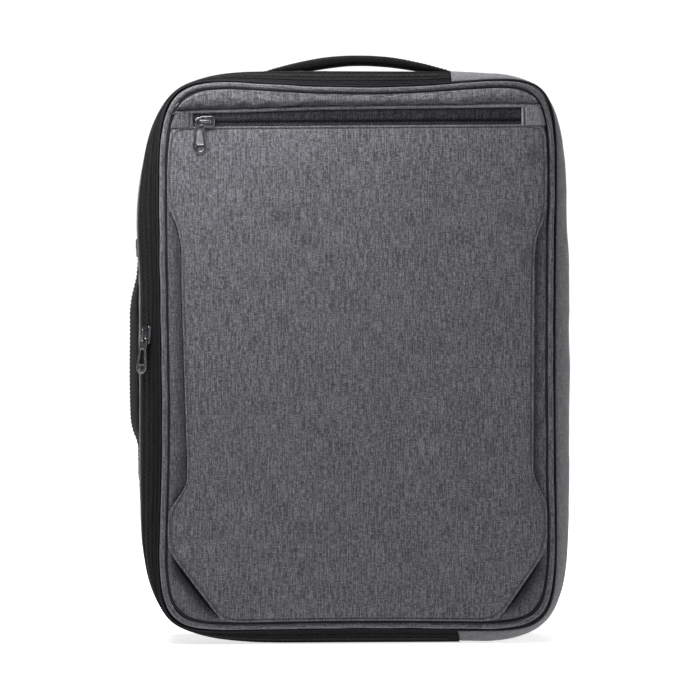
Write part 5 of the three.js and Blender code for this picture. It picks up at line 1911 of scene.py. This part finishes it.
@dataclass
class Handles(Sewn):
    """The padded top handle, and the side handle with its cloth tabs."""

    end_thickness: float = 1.2 * MM
    foot: float = 0.7 * MM
    side_middle: float = 212 * MM
    side_depth: float = 18 * MM
    side_half: float = 78 * MM

    def form(self, profile: Array, sizes: tuple[float, float, float, float], place: Callable) -> StrapForm:
        """A handle's strap from its half profile.

        Args:
            profile: rows of along, rise, thick and wide shares.
            sizes: length, width, thickness and rise.
            place: gives a point from the run along the handle and the height over the cloth.

        Returns:
            The strap.
        """
        length, width, thickness, rise = sizes
        rows = bowed(profile, 150)
        thick = self.end_thickness + (thickness - self.end_thickness) * np.clip(rows[:, 2], 0, 1)
        outer = np.maximum(rows[:, 1] * rise, self.foot)
        middles, face = place(rows[:, 0] * length / 2, outer - thick / 2)
        return StrapForm(middles, face, rows[:, 3] * width, thick)

    def build(self) -> None:
        """Makes both handles."""
        self.top()
        self.side()

    def top(self) -> None:
        """Makes the top handle, with sewn edges."""
        profile = np.array([
            (1, 0.03, 0, 1), (0.9, 0.09, 0.1, 1), (0.8, 0.27, 0.36, 0.98), (0.6, 0.58, 0.75, 0.93),
            (0.35, 0.87, 0.96, 0.88), (0.15, 0.98, 1, 0.86), (0, 1, 1, 0.86),
        ])

        def place(run: Array, high: Array) -> tuple[Array, Array]:
            """Returns points over the bag's top, and the upward direction."""
            middles = np.stack([5 * MM + run, np.full(len(run), 15 * MM), self.shape.height + high], axis=1)
            return middles, np.broadcast_to([0.0, 0.0, 1.0], middles.shape)

        strap = self.form(profile, (160 * MM, 27 * MM, 7.5 * MM, 14.0 * MM), place)
        fuller = 1.6 * MM * hump(np.linspace(-1, 1, len(strap.middles)), -0.45, 0.25)
        strap.thickness = strap.thickness + fuller
        strap.middles[:, 2] -= fuller / 2
        piece = strap.skin("top handle cloth", power=2.7, edge_dip=0.5 * MM).object(self.finishes.black)
        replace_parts(piece, "top_handle")
        strap.sew("top handle stitches", 0.84, 0.2 * MM, self.finishes.black_thread)

    def side(self) -> None:
        """Makes the side handle, with sewn edges, and the tabs over its ends."""
        profile = np.array([
            (1, 0.1, 0, 1), (0.86, 0.12, 0.1, 1), (0.76, 0.3, 0.5, 0.98), (0.62, 0.7, 0.85, 0.95),
            (0.45, 0.92, 1, 0.92), (0, 1, 1, 0.9),
        ])
        wall = -self.shape.width / 2
        left = np.array([-1.0, 0.0, 0.0])

        def place(run: Array, high: Array) -> tuple[Array, Array]:
            """Returns points beside the bag's left side, and the direction to the left."""
            share = run / self.side_half
            high = high + 1.5 * MM * hump(share, 0.7, 0.22) - 0.7 * MM * hump(share, -0.74, 0.11)
            up = self.side_middle + run - 8 * MM * (1 - share**2)
            middles = np.stack([wall - high, np.full(len(run), self.side_depth), up], axis=1)
            return middles, np.broadcast_to(left, middles.shape)

        strap = self.form(profile, (2 * self.side_half, 27 * MM, 3.9 * MM, 5.2 * MM), place)
        strap.lean = 0.25 * hump(np.linspace(-1, 1, len(strap.middles)), 0, 0.62)
        piece = strap.skin("side handle cloth", power=3.6, edge_dip=0.3 * MM).object(self.finishes.black)
        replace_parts(piece, "side_handle")
        strap.sew("side handle stitches", 0.98, 0.22 * MM, self.finishes.black_thread)
        for end, node in ((-1, "side_handle_tab_lower"), (1, "side_handle_tab_upper")):
            share = np.linspace(0, 1, 20)
            up = self.side_middle + end * (self.side_half + 0.3 * MM + 13 * MM * share)
            swell = 0.4 * MM * np.sqrt(np.maximum(1 - share**3, 0))
            out = wall + 0.3 * MM - swell - 3.4 * MM * ease((up - 0.26) / 0.07)
            middles = np.stack([out, 0 * share + self.side_depth, up], axis=1)
            face = np.broadcast_to(left, middles.shape)
            tab = StrapForm(middles, face, 32 * MM * (1 - 0.12 * share**2), 1.5 * MM * (1 - 0.25 * share**2))
            piece = tab.skin(f"{node} cloth", power=4.0, edge_dip=0.25 * MM).object(self.finishes.heather)
            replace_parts(piece, node)
            row = np.stack([middles[10:13].mean(axis=0) + [0, dy * MM, 0] for dy in (-12, 0, 12)])
            row[:, 0] -= 0.7 * MM
            run = Builder(f"{node} stitches").stitches(row, left, 3 * MM, 0.22 * MM)
            run.object(self.finishes.grey_thread)


@dataclass
class Harness(Sewn):
    """The padded back, the yoke, and two shoulder straps with buckles, webbing and foot tabs."""

    strap_length: float = 232.2 * MM
    spacing: float = 96 * MM
    spread: float = 41 * MM
    bow: float = 29 * MM
    strap_width: float = 60 * MM
    strap_thickness: float = 10 * MM
    yoke_bottom: float = 381 * MM
    yoke_height: float = 22 * MM
    yoke_width: float = 176 * MM
    foot: tuple[float, float] = (117 * MM, 46 * MM)
    pad_half: tuple[float, float] = (93 * MM, 148 * MM)
    pad_middle: float = 214 * MM
    channels: tuple[float, float] = (140 * MM, 288 * MM)
    profile: Array = field(
        default_factory=lambda: np.array([
            (0, 0, 0, 1, 0.5), (0.015, 0, 0, 1, 0.55), (0.05, 0.02, 0.2, 1, 0.75),
            (0.13, 0.06, 0.54, 0.99, 0.95), (0.26, 0.13, 0.84, 0.97, 1), (0.42, 0.25, 1, 0.94, 1),
            (0.58, 0.42, 0.97, 0.9, 1), (0.74, 0.64, 0.8, 0.84, 1), (0.88, 0.85, 0.58, 0.74, 0.9),
            (0.96, 0.96, 0.53, 0.6, 0.7), (1, 1, 0.48, 0.5, 0.45),
        ])
    )

    def build(self) -> None:
        """Makes every piece on the back."""
        self.pad()
        self.yoke()
        for side, hand in (("left", -1), ("right", 1)):
            self.strap(side, hand)

    def pad(self) -> None:
        """Makes the back pad: mesh over foam, with sewn channels and a bound rim."""
        half_width, half_height = self.pad_half
        turn = np.linspace(0, TURN, 361)[:-1]
        c, s = np.cos(turn), np.sin(turn)
        power = 2 / 7
        rim_x = np.sign(c) * np.abs(c) ** power * half_width
        rim_z = np.sign(s) * np.abs(s) ** power * half_height
        rim = np.stack([rim_x, rim_z], axis=1)
        share = 1 - (1 - np.linspace(0, 1, 90)) ** 1.6
        xz = rim[:, None] * share[None, :, None] + [0, self.pad_middle]
        x, z = xz[..., 0], xz[..., 1]
        inwards = np.minimum(half_width - np.abs(x), half_height - np.abs(z - self.pad_middle))
        swell = 3 * MM + 3 * MM * ease(inwards / (16 * MM))
        low, high = (0.8 * hump(z, level, 3 * MM) for level in self.channels)
        channels = np.clip(hump(x, 0, 4 * MM) + low + high, 0, 1)
        hem = 0.8 * MM * hump(inwards, 5 * MM, 1.2 * MM)
        soft = 0.3 * MM * undulation(x, z, 0.07, 61)
        under = self.shape.back(x, z) + self.shape.clearance
        y = under + swell - 2.2 * MM * channels - hem + soft + self.foam(x, z) * (1 - channels)
        points = np.stack([x, y, z], axis=-1)
        base = np.stack([points[:, -1, 0], self.shape.back(x[:, -1], z[:, -1]), points[:, -1, 2]], axis=-1)
        points = np.concatenate([points, base[:, None]], axis=1)
        self.cloth("back pad cloth", points, self.finishes.mesh, "back_pad", closed=True)

    def foam(self, x: Array, z: Array) -> Array:
        """How the foam presses the mesh out between the pad's channels, from the cloth solver.

        Args:
            x: sideways places.
            z: heights.

        Returns:
            The movement along y.
        """
        half_width, half_height = self.pad_half
        middle = self.pad_middle

        def sewn(net_x: Array, net_z: Array) -> Array:
            """Returns where the net lies on a channel or on the rim."""
            edge = np.minimum(half_width - np.abs(net_x), half_height - np.abs(net_z - middle)) < 6 * MM
            crossing = np.minimum(*(np.abs(net_z - level) for level in self.channels)) < 3 * MM
            return edge | crossing | (np.abs(net_x) < 3 * MM)

        def depth(net_x: Array, net_z: Array) -> Array:
            """Returns the pad's depth with a slight unevenness."""
            return self.shape.back(net_x, net_z) + 5 * MM + 0.3 * MM * undulation(net_x, net_z, 0.04, 62)

        box = (half_width, middle - half_height, middle + half_height)
        return Cushioning(pressure=1.2, spare=0.012, cap=2.0 * MM).over(x, z, box, depth, sewn)

    def yoke(self) -> None:
        """Makes the yoke, a soft roll of black cloth that both straps are sewn under."""
        half = self.yoke_width / 2
        x = np.linspace(-half, half, 200)[:, None]
        share = np.linspace(0, 1, 30)[None, :]
        z = self.yoke_bottom + self.yoke_height * share
        ends = ease((half - np.abs(x)) / (3 * MM))
        roll = 5 * MM * (0.5 + 0.5 * np.sin(math.pi * share) ** 0.7) * (0.5 + 0.5 * ends)
        soft = 0.25 * MM * undulation(x, z, 0.04, 71)
        y = self.shape.back(x, z) + self.shape.clearance + roll + soft
        points = np.stack([x + 0 * z, y, z + 0 * x], axis=-1)
        self.cloth("yoke cloth", points, self.finishes.black, "strap_yoke", 3 * MM)

    def strap(self, side: str, hand: int) -> None:
        """Makes one shoulder strap with what hangs on it.

        Args:
            side: left or right, as in the frame's nodes.
            hand: -1 or 1.

        Returns:
            None.
        """
        rows = smooth_rows(self.profile, 190)
        start = self.shape.back(self.spacing / 2, self.yoke_bottom) + self.shape.clearance
        start = start + self.strap_thickness / 4
        middles = np.stack(
            [
                hand * (self.spacing / 2 + self.spread * rows[:, 1]),
                start + self.bow * rows[:, 2],
                self.yoke_bottom - 0.6 * MM - self.strap_length * rows[:, 0],
            ],
            axis=1,
        )
        face = np.broadcast_to([0.0, 1.0, 0.0], middles.shape)
        strap = StrapForm(middles, face, self.strap_width * rows[:, 3], self.strap_thickness * rows[:, 4])
        skin = strap.skin(f"shoulder strap {side} cloth", power=3.4, count=64, edge_dip=1.0 * MM)
        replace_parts(skin.object(self.finishes.black), f"shoulder_strap_{side}")
        self.binding(side, strap)
        self.lower(side, hand, middles)

    def binding(self, side: str, strap: StrapForm) -> None:
        """Makes the tape bound round the strap's edges, and its stitches.

        Args:
            side: left or right.
            strap: the strap's form.

        Returns:
            None.
        """
        across, out = strap.frames()
        tape = Builder(f"shoulder strap {side} binding")
        seams = Builder(f"shoulder strap {side} stitches")
        for edge in (-1.0, 1.0):
            line = strap.middles + across * (strap.width / 2 - 0.6 * MM)[:, None] * edge
            high = np.maximum(strap.thickness * 0.5, 3 * MM)
            girth = rounded_section(np.full(len(line), 3.4 * MM), high, 2.4, 14)
            run = arc_length(line)
            uv = ring_uv(run, np.arange(15) * 0.9 * MM)[..., ::-1]
            tape.grid(tube(line, across, out, girth), uv, wrap_columns=True, capped=True)
            seam, face = strap.seam(edge, 3.4 * MM, 0.84)
            seams.stitches(seam[4:-4], face[4:-4], 3.4 * MM, 0.25 * MM)
        tape.object(self.finishes.tape)
        seams.object(self.finishes.black_thread)

    def lower(self, side: str, hand: int, middles: Array) -> None:
        """Makes the buckle, the webbing and the foot tab under a strap.

        Args:
            side: left or right.
            hand: -1 or 1.
            middles: the strap's line.

        Returns:
            None.
        """
        low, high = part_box(f"strap_buckle_{side}")
        end = middles[-1]
        rows = self.profile
        last = np.array([hand * self.spread, self.bow, -self.strap_length]) * (rows[-1] - rows[-2])[[1, 2, 0]]
        along = unit(last)
        across = unit(np.cross([0.0, 1.0, 0.0], along))
        out = np.cross(along, across)
        middle = end + along * (0.6 * MM + 11 * MM)
        half, wide = 11 * MM, 17 * MM
        narrow = wide * 0.82
        slot = 1.7 * MM
        corners = [(-half, -narrow), (half, -wide), (half, wide), (-half, narrow)]
        frame_line = rounded_polygon(corners, 2.4 * MM)
        slots = [
            rounded_polygon([(m - slot, -r), (m - slot, r), (m + slot, r), (m + slot, -r)], 0.8 * MM)
            for m, r in ((-5.28 * MM, 13 * MM), (4.4 * MM, 13.5 * MM))
        ]
        place = np.stack([along, np.cross(out, along), out, middle])
        mesh = plate(f"buckle {side}", [frame_line, *slots], 4.5 * MM, 0.9 * MM, place)
        buckle = join(f"strap buckle {side} body", [mesh], self.finishes.plastic, "bag")
        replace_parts(buckle, f"strap_buckle_{side}")
        log.info("buckle %s is %.1f mm wide in the frame", side, (high - low).x / MM)

        foot_x, foot_z = self.foot
        foot_half = 17 * MM
        depth = self.shape.back(foot_x - foot_half, foot_z + foot_half) + self.shape.clearance
        first = end + along * (0.6 * MM + 22.3 * MM)
        bend = first + along * 6.25 * MM
        on_tab = np.array([hand * foot_x, depth + 3 * MM + 1.2 * MM, foot_z])
        line = np.stack([first, bend, (bend + on_tab + [0, 0, foot_half]) / 2, on_tab + [0, 0, foot_half]])
        line = smooth_rows(np.vstack([line, on_tab + [0, 0, foot_half * 0.3]]), 60)
        face = np.broadcast_to([0.0, 1.0, 0.0], line.shape)
        webbing = StrapForm(line, face, np.full(60, 25 * MM), np.full(60, 1.8 * MM))
        piece = webbing.skin(f"strap webbing {side} cloth", power=5.0, count=36).object(self.finishes.black)
        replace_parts(piece, f"strap_webbing_{side}")
        tab_line = rounded_polygon(
            [
                (-hand * foot_half * 0.85, foot_half),
                (hand * foot_half * 0.85, foot_half),
                (hand * foot_half, -foot_half),
                (-hand * foot_half * 0.1, -foot_half),
            ],
            1.6 * MM,
        )
        middle = [hand * foot_x, depth + 1.5 * MM, foot_z]
        back_to = np.array([[1.0, 0, 0], [0, 0, 1.0], [0, -1.0, 0], middle])
        tab = plate(f"foot {side}", [tab_line], 3 * MM, 0.7 * MM, back_to)
        piece = join(f"strap foot {side} cloth", [tab], self.finishes.black, "bag")
        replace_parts(piece, f"strap_foot_{side}")


# Camera and light


@dataclass
class Studio:
    """The photo's view: a long lens before the front, a pale floor and soft light from all round."""

    image: int = 700
    pixel: float = 0.760 * MM
    distance: float = 2.5
    turn: float = -3.4
    target: tuple[float, float, float] = (-2.6 * MM, 0.0, 219.1 * MM)
    sensor: float = 36.0
    ambient: float = 0.15

    def camera(self) -> None:
        """Puts the camera where the photo was taken from."""
        data = bpy.data.cameras.new("camera")
        data.sensor_width = self.sensor
        data.lens = self.sensor * self.distance / (self.image * self.pixel)
        data.clip_end = 50
        data.dof.use_dof = False
        eye = bpy.data.objects.new("camera", data)
        bpy.context.scene.collection.objects.link(eye)
        angle = math.radians(self.turn)
        back = Vector((math.sin(angle), -math.cos(angle), 0.0))
        eye.location = Vector(self.target) + back * self.distance
        eye.rotation_mode = "QUATERNION"
        eye.rotation_quaternion = (-back).to_track_quat("-Z", "Y")
        bpy.context.scene.camera = eye

    def light(self, name: str, place: Sequence[float], size: float, power: float) -> None:
        """Adds a soft square light that looks at the bag.

        Args:
            name: the light's name.
            place: where it stands.
            size: length of its side.
            power: watts.

        Returns:
            None.
        """
        data = bpy.data.lights.new(name, "AREA")
        data.size = size
        data.energy = power
        lamp = bpy.data.objects.new(name, data)
        bpy.context.scene.collection.objects.link(lamp)
        lamp.location = place
        lamp.rotation_mode = "QUATERNION"
        lamp.rotation_quaternion = (Vector(self.target) - Vector(place)).to_track_quat("-Z", "Y")

    def floor(self) -> None:
        """Lays the pale floor."""
        half = 6.0
        mesh = bpy.data.meshes.new("floor")
        corners = [(-half, -half, 0), (half, -half, 0), (half, half, 0), (-half, half, 0)]
        mesh.from_pydata(corners, [], [(0, 1, 2, 3)])
        mesh.materials.append(self.paper())
        ground = bpy.data.objects.new("floor", mesh)
        bpy.context.scene.collection.objects.link(ground)

    def paper(self) -> Material:
        """Returns the floor's pale paper, which glows as painted light: strongly far in front, out of view,
        from a little before the bag onwards, more and more behind it, and more beside the bag, where its
        shadow falls.
        """
        sh = Shader("floor paper")
        place = sh.node("ShaderNodeTexCoord").outputs["Object"]
        depth = sh.node("ShaderNodeSeparateXYZ", {"0": place}).outputs[1]
        near = sh.spread(depth, -0.85, -0.45, (0.0, 0.42))
        glow = sh.math("ADD", near, sh.spread(depth, 0.1, 1.6, (0.0, 0.35)))
        glow = sh.math("ADD", glow, sh.spread(depth, -1.3, -2.6, (0.0, 0.8)))
        glow = sh.math("ADD", glow, sh.spread(depth, -0.1, -0.03, (0.0, 0.3)))
        sh.feed(sh.surface.inputs["Base Color"], (*Colour.FLOOR.value, 1.0))
        sh.feed(sh.surface.inputs["Roughness"], 0.9)
        sh.feed(sh.surface.inputs["Emission Color"], (1.0, 1.0, 1.0, 1.0))
        sh.feed(sh.surface.inputs["Emission Strength"], glow)
        return sh.material

    def world(self) -> None:
        """Makes a white backdrop behind the bag at its own height, and dimmer surroundings elsewhere."""
        world = bpy.data.worlds.new("surroundings")
        world.use_nodes = True
        nodes, links = world.node_tree.nodes, world.node_tree.links
        direction = nodes.new("ShaderNodeTexCoord")
        parts = nodes.new("ShaderNodeSeparateXYZ")
        links.new(direction.outputs["Generated"], parts.inputs[0])
        level = nodes.new("ShaderNodeMath")
        level.operation = "ABSOLUTE"
        links.new(parts.outputs[2], level.inputs[0])
        share = nodes.new("ShaderNodeMath")
        share.operation = "MULTIPLY"
        for number, source, ends in ((0, level.outputs[0], (0.32, 0.14)), (1, parts.outputs[1], (0.25, 0.6))):
            spread = nodes.new("ShaderNodeMapRange")
            spread.interpolation_type = "SMOOTHSTEP"
            spread.inputs["From Min"].default_value, spread.inputs["From Max"].default_value = ends
            links.new(source, spread.inputs["Value"])
            links.new(spread.outputs[0], share.inputs[number])
        strength = nodes.new("ShaderNodeMapRange")
        strength.inputs["To Min"].default_value = self.ambient
        strength.inputs["To Max"].default_value = 1.06
        links.new(share.outputs[0], strength.inputs["Value"])
        links.new(strength.outputs[0], nodes["Background"].inputs["Strength"])
        nodes["Background"].inputs["Color"].default_value = (1.0, 1.0, 1.0, 1.0)
        bpy.context.scene.world = world

    def build(self) -> None:
        """Sets up the whole studio."""
        self.camera()
        self.floor()
        self.world()
        self.light("key", (-0.22, -0.23, 0.61), 0.3, 3.8)
        self.light("fill", (1.3, -1.6, 0.35), 1.2, 9.2)
        self.light("overhead", (0.0, 0.3, 2.2), 2.0, 26)
        bpy.context.scene.view_settings.view_transform = "Standard"


def runner_frames(joint: dict) -> tuple[Array, Array]:
    """Returns a puller's pivot and the joint's axis from the frame's joint."""
    return np.array(joint["pos_m"], float), unit(np.array(joint["axis"], float))


def build_runners(finishes: Finishes) -> None:
    """Makes both sliders and pullers from the frame's joints.

    Args:
        finishes: the materials.

    Returns:
        None.
    """
    joints = {joint["name"]: joint for joint in frame["joints"]}
    level = 3.6 * MM
    pivot, _ = runner_frames(joints["front_puller_swing"])
    out = FORWARD
    right = np.array([1.0, 0.0, 0.0])
    down = np.array([0.0, 0.0, -1.0])
    seat = pivot - out * level + right * 4.25 * MM
    ring = pivot + down * 0.4 * MM
    nodes = ("front_zip_slider", "front_zip_puller")
    runner = ZipRunner(
        "front zip", nodes, "front_puller", seat, right, out, ring, down, finishes, finishes.inlay
    )
    runner.build()
    pivot, axis = runner_frames(joints["main_puller_swing"])
    across = -axis
    out = unit(np.array([across[1], -across[0], 0.0]))
    upwards = np.cross(out, across)
    seat = pivot - out * level + np.array([0.0, 0.0, 2 * MM])
    ring = pivot - upwards * 2.925 * MM
    nodes = ("main_zip_slider", "main_zip_puller")
    pieces = (seat, -down, out, ring, -upwards, finishes, finishes.shade)
    ZipRunner("main zip", nodes, "main_puller", *pieces).build()


def main() -> None:
    """Builds the bag in order."""
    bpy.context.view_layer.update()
    shape = BodyShape()
    finishes = Finishes()
    body = Body(shape, finishes)
    body.build()
    FrontPocket(shape, finishes, body.front_cloth).build()
    FrontZip(shape, finishes).build()
    MainZip(shape, finishes, body).build()
    build_runners(finishes)
    Handles(shape, finishes).build()
    Harness(shape, finishes).build()
    Studio().build()


if __name__ == "__main__":
    logging.basicConfig(level=logging.INFO, format="%(message)s")
    main()
